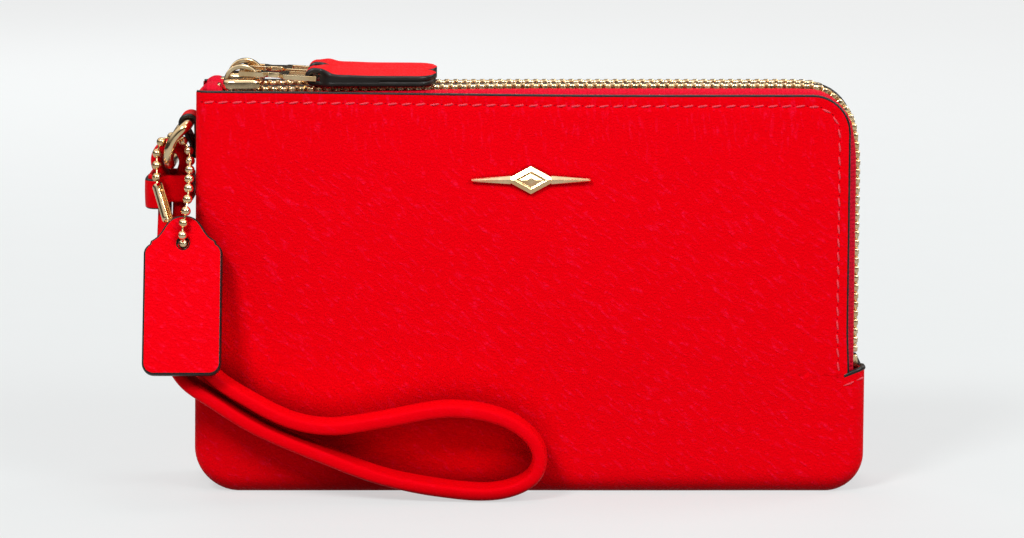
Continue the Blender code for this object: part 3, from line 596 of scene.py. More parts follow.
def turned_edge_distance(x, z):
    """How far a point is from the left, bottom and lower right edges."""
    distance = min(x - left_edge(z), z)
    if z <= COLLAR:
        distance = min(distance, right_edge(z) - x)
    for centre, radius, side in (
        (LEFT + BOTTOM_LEFT_RADIUS, BOTTOM_LEFT_RADIUS, -1),
        (RIGHT - BOTTOM_RIGHT_RADIUS, BOTTOM_RIGHT_RADIUS, 1),
    ):
        if z < radius and (x - centre) * side > 0:
            distance = min(distance, radius - math.hypot(x - centre, z - radius))
    return max(distance, 0.0)


def cut_edge_distance(x, z):
    """How far a point is from the painted top and right edge."""
    centre_x, centre_z = ZIP_EDGE - TOP_RIGHT_RADIUS, TOP - TOP_RIGHT_RADIUS
    if x > centre_x and z > centre_z:
        return TOP_RIGHT_RADIUS - math.hypot(x - centre_x, z - centre_z)
    if z <= COLLAR:
        return 99.0
    return min(TOP - z, ZIP_EDGE - x)


def base_depth(x, z):
    """Depth of a panel's face: its dome and its rolled edges."""
    across = max(math.sin(math.pi * (x - LEFT) / WIDTH), 0)
    upward = max(math.sin(math.pi * min(max(z / TOP, 0), 1)), 0)
    away = max(1 - turned_edge_distance(x, z) / ROLL_WIDTH, 0)
    roll = ROLL_DEPTH * (1 - math.sqrt(max(1 - away ** 2, 0)))
    return HALF_DEPTH + BULGE * across * upward - roll


# Uneven leather: height and length of its broad waves, small waves and creases near the cut edge
BROAD_WAVE, BROAD_LENGTH = 0.22, 34.0
SMALL_WAVE, SMALL_LENGTH = 0.07, 9.0
CREASE_HEIGHT, CREASE_LENGTH, CREASE_MIDDLE, CREASE_REACH = 0.10, 4.5, 7.0, 6.0
GROOVE_DEPTH, GROOVE_WIDTH, HEM_DROP = 0.20, 0.75, 0.10


def face_depth(x, z, side):
    """Depth with the leather's soft undulation, its creases and the dent of the stitch line."""
    depth = base_depth(x, z)
    depth += BROAD_WAVE * rough(x, side * 40, z, BROAD_LENGTH)
    depth += SMALL_WAVE * rough(x, side * 20, z * 1.6, SMALL_LENGTH)
    cut = cut_edge_distance(x, z)
    near_edge = math.exp(-((cut - CREASE_MIDDLE) / CREASE_REACH) ** 2)
    depth += CREASE_HEIGHT * near_edge * rough(x * 2.4, side * 9, z * 0.55, CREASE_LENGTH)
    depth -= GROOVE_DEPTH * math.exp(-((cut - STITCH_INSET) / GROOVE_WIDTH) ** 2)
    depth -= HEM_DROP * min(max((STITCH_INSET - cut) / STITCH_INSET, 0), 1)
    return depth


def spaced(low, high, step):
    return list(np.linspace(low, high, max(int(round(abs(high - low) / step)), 1) + 1))


def ease(value, low, high):
    """0 below low, 1 above high, smooth between."""
    t = min(max((value - low) / (high - low), 0), 1)
    return t * t * (3 - 2 * t)


def settled(x, z):
    """Where leather near the cut edge lies: the edge droops to the right and pulls in at the side."""
    droop = EDGE_DROOP_START + (EDGE_DROOP_END - EDGE_DROOP_START) * ease(x, LEFT, 30.0)
    pull_in = 0.4 * ease(x, 55.0, ZIP_EDGE) * ease(z, COLLAR, COLLAR + 12.0)
    return x - pull_in, z - droop * ease(z, 0.45 * TOP, TOP)


def zip_rise(x, z, side=-1):
    """Extra height of the zip over the panel edge: low at the slider and the corner, higher down the side."""
    along_top = ZIP_RISE_START + (ZIP_RISE_END[side] - ZIP_RISE_START) * ease(x, SLIDER_HIGH.x, 5.0)
    down_side = ease(TOP - z, 4.0, 18.0)
    corner = math.exp(-((ZIP_EDGE - x - 2.6) ** 2 + (TOP - z - 2.6) ** 2) / 30.0)
    return along_top * (1 - down_side) + ZIP_RISE_SIDE * down_side - ZIP_CORNER_DIP * corner


def panel_rows(inset, cut_inset, step):
    """Heights of the mesh rows, closer together where the corners curve."""
    corner = BOTTOM_LEFT_RADIUS - inset
    low = [inset + corner * (1 - math.cos(math.radians(a))) for a in range(0, 91, 6)]
    top_corner = TOP_RIGHT_RADIUS - cut_inset
    bend = TOP - TOP_RIGHT_RADIUS
    high = [bend + top_corner * math.sin(math.radians(a)) for a in range(0, 91, 5)]
    return low + spaced(low[-1], COLLAR, step)[1:] + spaced(COLLAR + 0.05, bend, step) + high[1:]


def panel_columns(step):
    """Shares of a row's width, closer together near both ends."""
    near = [0, 0.25, 0.6, 1.05, 1.6, 2.2, 2.9, 3.6, 4.3]
    middle = spaced(5.0, WIDTH - 5.0, step)
    return [x / WIDTH for x in near + middle + [WIDTH - n for n in near[::-1]]]


def collar_rise(y):
    """How far the collar stands above the panel's corner at a depth: most at the front, least at the back."""
    return COLLAR_RISE_BACK + (COLLAR_RISE_FRONT - COLLAR_RISE_BACK) * ease(-y, 1.0, 11.0)


def lifted_at_collar(x, z, side):
    """Below the collar the leather rises a little as it turns round the side."""
    if z > COLLAR or x < ZIP_EDGE - 1.0:
        return z
    share = (x - (ZIP_EDGE - 1.0)) / (RIGHT - ZIP_EDGE + 1.0)
    return z + collar_rise(side * HALF_DEPTH) * share * max(1 - (COLLAR - z) / 12.0, 0)


def sheet(side, rows, columns, inset, cut_inset, outer_depth, thickness, narrow=False):
    """A closed sheet of one thickness, from its rows and columns of points."""
    layers = ([], [])
    for z in rows:
        start, end = left_edge(z, inset), right_edge(z, inset, cut_inset)
        if narrow:
            end = min(end, ZIP_EDGE - cut_inset)
        for share in columns:
            x = start + (end - start) * share
            depth = outer_depth(x, z)
            place, height = settled(x, z if narrow else lifted_at_collar(x, z, side))
            layers[0].append((place, side * depth, height))
            layers[1].append((place, side * (depth - thickness), height))
    wide, high = len(columns), len(rows)
    shift = wide * high
    faces = []
    for r in range(high - 1):
        for c in range(wide - 1):
            a, b = r * wide + c, r * wide + c + 1
            faces.append((a, b, b + wide, a + wide))
            faces.append((a + shift, a + wide + shift, b + wide + shift, b + shift))
    rim = list(range(wide))
    rim += [r * wide + wide - 1 for r in range(1, high)]
    rim += [(high - 1) * wide + c for c in range(wide - 2, -1, -1)]
    rim += [r * wide for r in range(high - 2, 0, -1)]
    for i, a in enumerate(rim):
        b = rim[(i + 1) % len(rim)]
        faces.append((a, b, b + shift, a + shift))
    shape = Shape()
    shape.add(layers[0] + layers[1], faces)
    return shape


def make_panel(name, side):
    rows, columns = panel_rows(0, 0, 0.9), panel_columns(0.9)
    shape = sheet(side, rows, columns, 0, 0, lambda x, z: face_depth(x, z, side), LEATHER)
    shape.fit(f"{name}_leather", name, [LEATHER_SKIN], f"{name}_panel", f"{name}_panel_flap", sharp_deg=50)


def cut_edge_line(inset, step, start_x=None):
    """Points (x, z, out_x, out_z) along the painted edge: top, corner, side."""
    centre = (ZIP_EDGE - TOP_RIGHT_RADIUS, TOP - TOP_RIGHT_RADIUS)
    radius = TOP_RIGHT_RADIUS - inset
    first = left_edge(TOP) + 0.2 if start_x is None else start_x
    line = [(x, TOP - inset, 0.0, 1.0) for x in spaced(first, centre[0], step)]
    steps = max(int(radius * math.pi / 2 / step), 8)
    for k in range(1, steps + 1):
        a = math.radians(90 - 90 * k / steps)
        c, s = math.cos(a), math.sin(a)
        line.append((centre[0] + radius * c, centre[1] + radius * s, c, s))
    for z in spaced(centre[1], COLLAR + 0.6, step)[1:]:
        line.append((ZIP_EDGE - inset, z, 1.0, 0.0))
    return line


def make_edge_paint(name, side):
    """Rounded bead of dark paint over the cut edge of a panel."""
    rings = []
    for x, z, out_x, out_z in cut_edge_line(0, 1.2):
        middle = face_depth(x, z, side) - LEATHER / 2
        place_x, place_z = settled(x, z)
        ring = []
        for a in turns(12):
            lift = 0.10 + 0.34 * math.sin(a)
            depth = middle + (LEATHER / 2 + 0.10) * squared(math.cos(a), 0.7)
            ring.append((place_x + out_x * lift, side * depth, place_z + out_z * lift))
        rings.append(ring)
    Shape(rings).fit(f"{name}_edge_paint", name, [EDGE_PAINT])


def collar_path(below=0.0):
    """Line round the lower right side, from the front face to the back face, this far under the collar."""
    start_x, end_x = ZIP_EDGE - 0.9, RIGHT - 0.7
    faces = {}
    for side in (-1, 1):
        faces[side] = []
        for share in np.linspace(0, 1, 13):
            x = start_x + (end_x - start_x) * share
            depth = base_depth(x, COLLAR - 0.5 - below)
            z = COLLAR - 0.1 + collar_rise(side * HALF_DEPTH) * share - below
            faces[side].append(np.array((x, side * depth, z)))
    corner = abs(faces[-1][-1][1]) - 1.0
    across = []
    for y in np.linspace(-corner, corner, 25):
        across.append(np.array((RIGHT - 0.3, y, COLLAR - 0.1 + collar_rise(y) - below)))
    return faces[-1] + across + faces[1][::-1]


def make_collar_paint():
    """Painted edge of the leather that turns round the side below the zips."""
    path = [p * np.array((1, 1 - 0.45 / max(abs(p[1]), 1), 1)) for p in collar_path()]
    rim = Shape()
    rim.add(*tube(path, 0.62, 12))
    rim.fit("collar_edge_paint", "wallet", [EDGE_PAINT])


def side_line():
    """Stations (x, z, out_x, out_z) down the left side, along the base and up to the collar."""
    line = [(left_edge(z), z, -1.0, 0.0) for z in spaced(TOP - 0.8, BOTTOM_LEFT_RADIUS, 2.5)]
    corners = (
        (LEFT + BOTTOM_LEFT_RADIUS, BOTTOM_LEFT_RADIUS, 180),
        (RIGHT - BOTTOM_RIGHT_RADIUS, BOTTOM_RIGHT_RADIUS, 270),
    )
    for centre_x, radius, start in corners:
        for a in range(start + 6, start + 91, 6):
            c, s = math.cos(math.radians(a)), math.sin(math.radians(a))
            line.append((centre_x + radius * c, radius + radius * s, c, s))
        if start == 180:
            for x in spaced(centre_x, corners[1][0], 3.0)[1:]:
                line.append((x, 0.0, 0.0, -1.0))
    line += [(RIGHT, z, 1.0, 0.0) for z in spaced(BOTTOM_RIGHT_RADIUS, COLLAR, 2.0)[1:]]
    return line


def make_gusset():
    """Leather strip round the left side, base and lower right side, with a soft crown across."""
    half = HALF_DEPTH - ROLL_DEPTH - 0.1
    rings = []
    for x, z, out_x, out_z in side_line():
        near_collar = ease(z, COLLAR - 8.0, COLLAR) if x > 0 else 0.0
        outer, inner = [], []
        for y in np.linspace(-half, half, 17):
            share = y / half
            seam = 0.35 * max(abs(share) - 0.9, 0) * 10
            crown = 0.28 * (1 - share ** 2) * (1 - abs(out_z)) * (1 - near_collar) - seam - 0.3 * near_collar
            lift = crown + 0.05 * rough(x, y * 2, z, 9)
            if out_z < -0.5:
                lift = min(lift, 0.0)
            rise = collar_rise(y) * near_collar
            outer.append((x + out_x * lift, y, z + out_z * lift + rise))
            inner.append((x - out_x * LEATHER, y, z - out_z * LEATHER + rise))
        rings.append(outer + inner[::-1])
    Shape(rings).fit("side_gusset_leather", "wallet", [LEATHER_SKIN], "side_gusset", sharp_deg=50)


def stitch(start, end, surface):
    """One stitch between two flat points; surface places a flat point at a height over the leather."""
    path, radii = [], []
    for t in np.linspace(0, 1, 9):
        bow = math.sin(math.pi * t) ** 0.5
        path.append(surface(*(start + (end - start) * t), -0.12 + 0.26 * bow))
        radii.append(0.13 + 0.10 * bow)
    return tube(path, radii, 8)


# A needle hole, drawn out along the seam and coloured with painted shade: (reach along the seam, depth) and
# its radii
HOLE_LINE = ((-0.62, -0.16), (-0.35, -0.2), (0.0, -0.22), (0.3, -0.2), (0.5, -0.16))
HOLE_RADII = (0.05, 0.22, 0.28, 0.22, 0.05)


def make_stitches(name, side):
    """Lock stitches sunk in the groove along the painted edge, with a needle hole of painted shade between
    them.
    """
    line = [(x, z) for x, z, _, _ in cut_edge_line(STITCH_INSET, 0.6, start_x=left_edge(TOP) + 1.6)]
    marks = evenly(line, STITCH_PITCH)

    def surface(x, z, height):
        place_x, place_z = settled(x, z)
        return place_x, side * (face_depth(x, z, side) + height), place_z

    seam = Shape()
    for a, b in zip(marks, marks[1:]):
        along = (b - a) / np.linalg.norm(b - a)
        across = np.array((-along[1], along[0]))
        seam.add(*stitch(a + along * 0.5 - across * 0.17, b - along * 0.65 + across * 0.17, surface))
        hole = [surface(*(a + along * reach), depth) for reach, depth in HOLE_LINE]
        seam.add(*tube(hole, HOLE_RADII, 10), slot=1)
    seam.fit(f"{name}_stitches", name, [THREAD, NEEDLE_HOLE_SHADE], sharp_deg=60)


def make_collar_stitches():
    """A row of stitches under the collar's painted edge, round the side."""
    seam = Shape()
    path = evenly(collar_path(below=2.3), STITCH_PITCH / 5)
    middle = np.array((ZIP_EDGE - 30.0, 0.0, 0.0))
    for k in range(0, len(path) - 5, 5):
        points, radii = [], []
        for i, p in enumerate(path[k:k + 5]):
            out = (p - middle) * np.array((0.35 if abs(p[1]) > 9.0 else 1.0, 1.0, 0.0))
            out /= np.linalg.norm(out)
            bow = math.sin(math.pi * i / 4)
            points.append(p + out * (-0.10 + 0.30 * bow))
            radii.append(0.13 + 0.10 * bow)
        seam.add(*tube(points, radii, 8))
    seam.fit("collar_stitches", "wallet", [THREAD])


# ---------------------------------------------------------------- lining, divider and pockets

LINING_INSET, LINING_TOP_INSET, LINING_SETBACK, LINING_THICK = 1.9, 2.6, 2.7, 0.5


def make_lining(name, side):
    rows = panel_rows(LINING_INSET, LINING_TOP_INSET, 2.0)
    columns = panel_columns(2.0)

    def panel_side(x, z):
        return base_depth(x, z) - LINING_SETBACK + 0.15 * rough(x, side * 7, z, 16)

    shape = sheet(side, rows, columns, LINING_INSET, LINING_TOP_INSET, panel_side, LINING_THICK, True)
    shape.fit(f"{name}_lining_cloth", name, [LINING], f"{name}_lining", f"{name}_lining_flap", sharp_deg=50)

    depth = max(abs(v) for v in (corners_mm(f"{name}_divider_lining")[i].y for i in (0, 1)))

    def divider_side(x, z):
        return depth - 0.08 + 0.08 * rough(x, side * 3, z, 14)

    shape = sheet(side, rows, columns, LINING_INSET, LINING_TOP_INSET, divider_side, LINING_THICK, True)
    shape.fit(f"{name}_divider_cloth", "wallet", [LINING], f"{name}_divider_lining", sharp_deg=50)


def divider_line():
    """Top and side edge of the divider; it stands furthest out at the corner."""
    line = []
    for x, z, out_x, out_z in cut_edge_line(0.0, 1.5, start_x=LEFT + 2.5):
        height = DIVIDER_HIGH.z - TOP + 0.8 * zip_rise(x, z) + 1.2 * out_x * out_z
        line.append((x + out_x * height, z + out_z * height, out_x, out_z))
    return line


def make_divider():
    """Leather wall between the compartments, with its painted edge."""
    half = DIVIDER_HIGH.y
    inset = 1.7
    lower = [(x - out_x * inset, z - out_z * inset) for x, z, out_x, out_z in side_line() if z < COLLAR]
    upper = [(x, z) for x, z, _, _ in divider_line()]
    outline = lower + upper[::-1]
    wall = Shape()
    wall.add(*lofted([[(x, y, z) for x, z in outline] for y in (-half, half)]))
    wall.fit("divider_leather", "wallet", [SMOOTH_SKIN], "divider_panel", sharp_deg=50)
    rings = []
    for x, z, out_x, out_z in divider_line():
        ring = []
        for a in turns(10):
            lift = 0.05 + 0.36 * math.sin(a)
            ring.append((x + out_x * lift, (half + 0.08) * math.cos(a), z + out_z * lift))
        rings.append(ring)
    Shape(rings).fit("divider_edge_paint", "wallet", [EDGE_PAINT])


def make_pockets():
    """Slip pockets with a slightly thickened top edge, as if folded, and a little sag."""
    for node in ("upper_card_pocket", "lower_card_pocket"):
        low, high = corners_mm(node)
        thick = high.y - low.y
        rings = []
        for z in spaced(low.z, high.z, 3.0):
            share = (z - low.z) / (high.z - low.z)
            swell = 0.12 if share > 0.93 else 0.0
            front, back = [], []
            for x in spaced(low.x, high.x, 4.0):
                sag = 0.25 * math.sin(math.pi * (x - low.x) / (high.x - low.x)) * share ** 2
                front.append((x, high.y + swell + sag * 0.4, z - sag))
                back.append((x, high.y - thick + sag * 0.4, z - sag))
            rings.append(front + back[::-1])
        Shape(rings).fit(f"{node}_cloth", "wallet", [LINING], node, sharp_deg=50)


# ---------------------------------------------------------------- zips

TOOTH_PITCH = 2.2


def zip_stations(start_x, end_z, step):
    """Stations (x, z, out_x, out_z) along the panel edge, evenly spaced."""
    centre = (ZIP_EDGE - TOP_RIGHT_RADIUS, TOP - TOP_RIGHT_RADIUS)
    line = [(start_x, TOP), (centre[0], TOP)]
    line += arc(centre, TOP_RIGHT_RADIUS, 90, 0, 24)[1:]
    line.append((ZIP_EDGE, end_z))
    stations = []
    for x, z in evenly(line, step):
        if x <= centre[0]:
            out = (0.0, 1.0)
        elif z <= centre[1]:
            out = (1.0, 0.0)
        else:
            away = np.array((x - centre[0], z - centre[1]))
            out = tuple(away / np.linalg.norm(away))
        stations.append((x, z, *out))
    return stations


def thickened(line, thickness):
    left, right = [], []
    for i, p in enumerate(line):
        before, after = neighbours(line, i)
        along = (Vector(after) - Vector(before)).normalized()
        away = Vector((-along.y, along.x)) * thickness / 2
        left.append(tuple(Vector(p) + away))
        right.append(tuple(Vector(p) - away))
    return left + right[::-1]


def tape_line(outer):
    """Middle line of a tape across the zip, as (distance from the middle plane, height)."""
    row = ZIP_Y + (1 if outer else -1) * 1.75
    if outer:
        foot = HALF_DEPTH - LEATHER - 0.55
        turn = [(foot, -5.0), (foot, -1.5), (foot - 0.25, -0.6), (foot - 0.9, 0.05), (foot - 2.0, 0.38)]
    else:
        foot = 1.25
        turn = [(foot, -5.0), (foot, -1.5), (foot + 0.25, -0.6), (foot + 0.9, 0.05), (foot + 2.0, 0.38)]
    return turn + [(row, 0.5)]


def make_tapes(name, side):
    for half, outer in (("outer", True), ("inner", False)):
        outline = thickened(tape_line(outer), 0.45)
        rings = []
        for x, z, out_x, out_z in zip_stations(TAPE_LOW.x, TAPE_LOW.z, 1.6):
            rise = zip_rise(x, z, side) + 0.05 * rough(x * 3, side * 5 + outer, z * 3, 5)
            heights = [(y, h + rise * ease(h, -1.2, 0.4)) for y, h in outline]
            rings.append([(x + out_x * h, side * y, z + out_z * h) for y, h in heights])
        body = name if outer else "wallet"
        Shape(rings).fit(f"{name}_{half}_tape", body, [TAPE], f"{name}_zip_{half}_tape", sharp_deg=60)


def make_tape_end(name, side):
    """Folded end of the zip's tape, tucked over the stops behind the slider."""
    start_x, end_x = left_edge(TOP) + 1.4, SLIDER_LOW.x - 0.2
    rings = []
    for share in np.linspace(0, 1, 15):
        x = start_x + (end_x - start_x) * share
        crown = 0.5 + 1.6 * math.sin(math.pi * min(share * 0.9 + 0.12, 0.97)) ** 0.6
        crown += 0.18 * rough(x, side * 11, 3.0, 1.3)
        half = 5.3 * (0.75 + 0.25 * ease(share, 0.0, 0.3)) * (1 - 0.12 * ease(share, 0.8, 1.0))
        ring = []
        for a in turns(20):
            y = half * squared(math.cos(a), 0.6)
            z = (crown if math.sin(a) > 0 else 0.8) * squared(math.sin(a), 0.7)
            ring.append((x, side * ZIP_Y + y, TOP + z))
        rings.append(ring)
    Shape(rings).fit(f"{name}_tape_end", "wallet", [TAPE], sharp_deg=60)


# Cuts across a tooth from its head back: distance from the zip's middle, half width, drop of its faces
TOOTH_SECTIONS = (
    (-0.35, 0.30, 0.5), (-0.28, 0.42, 0.22), (0.25, 0.46, 0.0), (0.5, 0.78, 0.0),
    (1.75, 0.78, 0.0), (1.95, 0.70, 0.12), (2.05, 0.55, 0.35),
)


def tooth():
    """One tooth as (along, across, height) points: a block that clamps the tape, narrower at its head."""
    low, high = -0.6, TEETH_TOP - 0.05
    rings = []
    for across, half, shrink in TOOTH_SECTIONS:
        a, b = low + shrink, high - shrink
        cut = min(0.3, half / 2)
        rings.append([
            (along, across, height) for along, height in (
                (-half, a + cut), (cut - half, a), (half - cut, a), (half, a + cut),
                (half, b - cut), (half - cut, b), (cut - half, b), (-half, b - cut),
            )
        ])
    return lofted(rings)


def make_teeth(name, side):
    """Both rows of teeth, meshed at the middle: each row is half a pitch behind the other."""
    stations = zip_stations(TEETH_START, TEETH_END, TOOTH_PITCH / 2)
    points, faces = tooth()
    for first, half, direction in ((0, "outer", 1), (1, "inner", -1)):
        row = Shape()
        for x, z, out_x, out_z in stations[first::2]:
            rise = zip_rise(x, z, side)
            placed = []
            for along, across, height in points:
                y = ZIP_Y + direction * across
                out = height + rise
                placed.append((x + out_z * along + out_x * out, side * y, z - out_x * along + out_z * out))
            row.add(placed, faces)
        body = name if half == "outer" else "wallet"
        row.fit(f"{name}_{half}_teeth", body, [TEETH_GOLD], f"{name}_zip_{half}_teeth", sharp_deg=35)


def refined(node, name, body, bevel, segments=3):
    """A metal CAD piece redrawn with its flat faces joined up and its edges rounded."""
    mesh = frame["nodes"][node].data.copy()
    mesh.name = name
    mesh.materials.clear()
    mesh.materials.append(GOLD)
    work = bmesh.new()
    work.from_mesh(mesh)
    bmesh.ops.remove_doubles(work, verts=work.verts, dist=0.01 * MM)
    flat = math.radians(1.5)
    bmesh.ops.dissolve_limit(work, angle_limit=flat, verts=list(work.verts), edges=list(work.edges))
    work.to_mesh(mesh)
    work.free()
    mesh.shade_smooth()
    mesh.set_sharp_from_angle(angle=math.radians(SHARP_DEG))
    piece = add_object(name, mesh)
    round_edges(piece, bevel, segments, harden=True)
    attach(piece, body, node)
    return piece


# Cuts across a slider's shell: share of its length, half width, drop of its rounded ends
SHELL_SECTIONS = (
    (0.0, 3.1, 0.45), (0.04, 3.5, 0.15), (0.14, 3.9, 0.0), (0.35, 4.0, 0.0),
    (0.6, 3.85, 0.0), (0.85, 3.5, 0.0), (0.96, 3.2, 0.15), (1.0, 2.9, 0.45),
)
SHELL_CORNER, SHELL_WALL, PLATE_THICK = 0.9, 0.85, 1.0
BRIDGE_REACH = 3.75
# Cut across the bridge: (sideways, outward)
BRIDGE_BAR = (
    (-1.1, 0.35), (-0.85, 0.56), (0.85, 0.56), (1.1, 0.35),
    (1.1, -0.35), (0.85, -0.56), (-0.85, -0.56), (-1.1, -0.35),
)


def make_slider(name, side):
    """Slider with a rounded, tapered shell, a floor plate, a neck and an arched bridge for the pull."""
    middle = side * ZIP_Y
    start_x, end_x = SLIDER_LOW.x, SLIDER_HIGH.x
    plate_low = TOP + TEETH_TOP + 0.3
    plate_high = plate_low + PLATE_THICK
    flange_low = TOP + 0.75
    slider = Shape()
    rings = []
    corner, wall = SHELL_CORNER, SHELL_WALL
    for share, half, drop in SHELL_SECTIONS:
        top = plate_high - drop
        outer = [(-half, flange_low + drop)]
        outer += arc((corner - half, top - corner), corner, 180, 90, 6)
        outer += arc((half - corner, top - corner), corner, 90, 0, 6)
        outer += [(half, flange_low + drop), (half - wall, flange_low + drop)]
        outer += [(half - wall, plate_low), (wall - half, plate_low), (wall - half, flange_low + drop)]
        rings.append([(start_x + (end_x - start_x) * share, middle + y, z) for y, z in outer])
    slider.add(*lofted(rings))
    floor_low = SLIDER_LOW.z
    rings = []
    for inset, z in ((0.3, 0.0), (0.0, 0.25), (0.0, 0.55), (0.3, 0.8)):
        outline = rounded_box((start_x + end_x) / 2, middle, 2.9, 2.4, 1.5 - inset, 6)
        rings.append([(x, y, floor_low + z) for x, y in outline])
    slider.add(*lofted(rings))
    neck = [(start_x + 0.3, -0.45), (start_x + 1.3, -0.45), (start_x + 1.3, 0.45), (start_x + 0.3, 0.45)]
    slider.add(*lofted([[(x, middle + y, z) for x, y in neck] for z in (floor_low + 0.4, plate_low + 0.4)]))
    crown = SLIDER_HIGH.z - 0.62
    rings = []
    for a in np.radians(np.linspace(0, 180, 25)):
        c, s = math.cos(a), math.sin(a)
        height = plate_high - 0.5 + (crown - plate_high + 0.5) * s
        centre = Vector((PULL_PIVOT.x + BRIDGE_REACH * c, middle, height))
        rings.append([centre + Vector((0, y, 0)) + Vector((c, 0, s)) * out for y, out in BRIDGE_BAR])
    slider.add(*lofted(rings))
    slider.fit(f"{name}_slider_metal", f"{name}_slider", [GOLD], f"{name}_zip_slider", sharp_deg=38)


LINK_DROP = 1.1


def make_zip_metal(name):
    """Link, which leans down to its tab, and the stops; the bottom one stands out with the zip's side."""
    link = refined(f"{name}_pull_link", f"{name}_link", f"{name}_pull", 0.42, segments=4)
    lean = Matrix.Rotation(math.asin(LINK_DROP / (TAB_PIVOT.x - PULL_PIVOT.x)), 4, "Y")
    pivot = Matrix.Translation(PULL_PIVOT * MM)
    link.data.transform(pivot @ lean @ pivot.inverted())
    for half in ("outer", "inner"):
        refined(f"{name}_zip_{half}_top_stop", f"{name}_{half}_stop", "wallet", 0.3)
    end_stop = refined(f"{name}_zip_bottom_stop", f"{name}_end_stop", "wallet", 0.5)
    end_stop.data.transform(Matrix.Translation(Vector((ZIP_RISE_SIDE, 0, -1.2)) * MM))


TAB_THICK = 1.4
TAB_DROP = 0.85
TAB_TILT = math.radians(5.5)


def tab_half_width(x, bar_x, end_x, half_width):
    """Half width of a pull tab: narrow inside the link's ring, wide after it, rounded at its end."""
    loop_half, corner = 3.05, 4.4
    half = loop_half + (half_width - loop_half) * ease(x, bar_x + 1.3, bar_x + 4.2)
    left_over = end_x - x
    if left_over < corner:
        half = half_width - corner + math.sqrt(max(corner ** 2 - (corner - left_over) ** 2, 0.3))
    return half


def tab_line(bar_x, bar_z, end_x, low_z):
    """Middle line (x, z) of a pull tab: out along the bottom, round the ring, back along the top."""
    bottom = low_z + TAB_THICK / 2
    top = bottom + TAB_THICK - 0.15
    loop = 0.85 + TAB_THICK / 2
    line = [(end_x, bottom), (end_x - 9, bottom), (bar_x + 8.0, bottom), (bar_x + 4.6, bottom)]
    line += [(bar_x + 2.4, bar_z - loop * 0.96)]
    line += arc((bar_x, bar_z), loop, -80, -280, 10)
    line += [(bar_x + 2.4, bar_z + loop * 0.95), (bar_x + 5.0, top + 0.5), (bar_x + 9.0, top + 0.3)]
    line += [(bar_x + 14.0, top + 0.12), (end_x - 9, top + 0.08), (end_x, top)]
    return curve_through(line, 6)


def make_pull_tab(name):
    """Leather folded round the link's ring and glued, its edges painted as one, lying a little tilted."""
    bar_x, bar_z = TAB_PIVOT.x, TAB_PIVOT.z - LINK_DROP
    low, high = corners_mm(f"{name}_pull_tab")
    middle_y, half_width, end_x = (low.y + high.y) / 2, (high.y - low.y) / 2, high.x
    low_z = low.z - TAB_DROP
    line = tab_line(bar_x, bar_z, end_x, low_z)
    turn = len(line) // 2
    across = Vector((0, math.cos(TAB_TILT), math.sin(TAB_TILT)))
    raised = Vector((0, middle_y, half_width * math.sin(TAB_TILT) * 0.6))
    stations = []
    for i, (x, z) in enumerate(line):
        before, after = neighbours(line, i)
        along = (after - before) / np.linalg.norm(after - before)
        away = Vector((along[1], 0, -along[0]))
        swell = 0.35 * ease(x, bar_x + 3.0, bar_x + 9.0) if i > turn else 0.0
        half = tab_half_width(x, bar_x, end_x, half_width)
        tilted = Vector((0, 1, 0)).lerp(across, ease(x, bar_x, bar_x + 3.0))
        stations.append((Vector((x, 0, z)) + raised, away, tilted.normalized(), half, swell))
    shape = Shape()
    shape.add(*leather_strip(stations, TAB_THICK))
    upper = sorted((tuple(p) for p in line[turn:] if p[0] > bar_x), key=lambda p: p[0])
    rings = []
    for x in spaced(bar_x + 1.35, bar_x + 16.0, 0.7):
        top = float(np.interp(x, [p[0] for p in upper], [p[1] for p in upper]))
        half = tab_half_width(x, bar_x, end_x, half_width) - 0.05
        bottom = low_z + TAB_THICK / 2
        middle = Vector((x, 0, 0)) + raised
        rings.append([
            middle + across * y + Vector((0, 0, z))
            for y, z in ((-half, bottom), (half, bottom), (half, top), (-half, top))
        ])
    points, faces = lofted(rings)
    shape.add(points, faces, 1)
    materials = [SMOOTH_SKIN, EDGE_PAINT]
    shape.fit(f"{name}_tab_leather", f"{name}_tab", materials, f"{name}_pull_tab", sharp_deg=60)


# ---------------------------------------------------------------- ring, strap, chain, tag

RING_WIRE = 1.25
RING_BOW = 1.7


def make_ring():
    half = corners_mm("d_ring")[1].y - RING_WIRE
    drop = RING_HANG - RING_BAR
    length = drop.length
    down = drop / length
    outward = Vector((down.z, 0, -down.x))
    bar_corner, bow = 1.6, 4.5
    flat = [(y, 0.0) for y in spaced(-half + bar_corner, half - bar_corner, 1.0)]
    flat += arc((half - bar_corner, bar_corner), bar_corner, -90, 0, 8)[1:]
    flat += [(half, d) for d in spaced(bar_corner, length - bow, 0.7)[1:-1]]
    flat += arc((half - bow, length - bow), bow, 0, 90, 14)
    flat += [(-y, d) for y, d in flat[::-1] if d > 0.01]
    path = []
    for y, d in flat:
        bulge = RING_BOW * math.sin(math.pi * d / length)
        path.append(RING_BAR + down * d + outward * bulge + Vector((0, y, 0)))
    ring = Shape()
    ring.add(*tube(path, RING_WIRE, 20, closed=True))
    ring.fit("ring_wire", "ring", [GOLD], "d_ring")


RING_TAB_THICK = 1.15


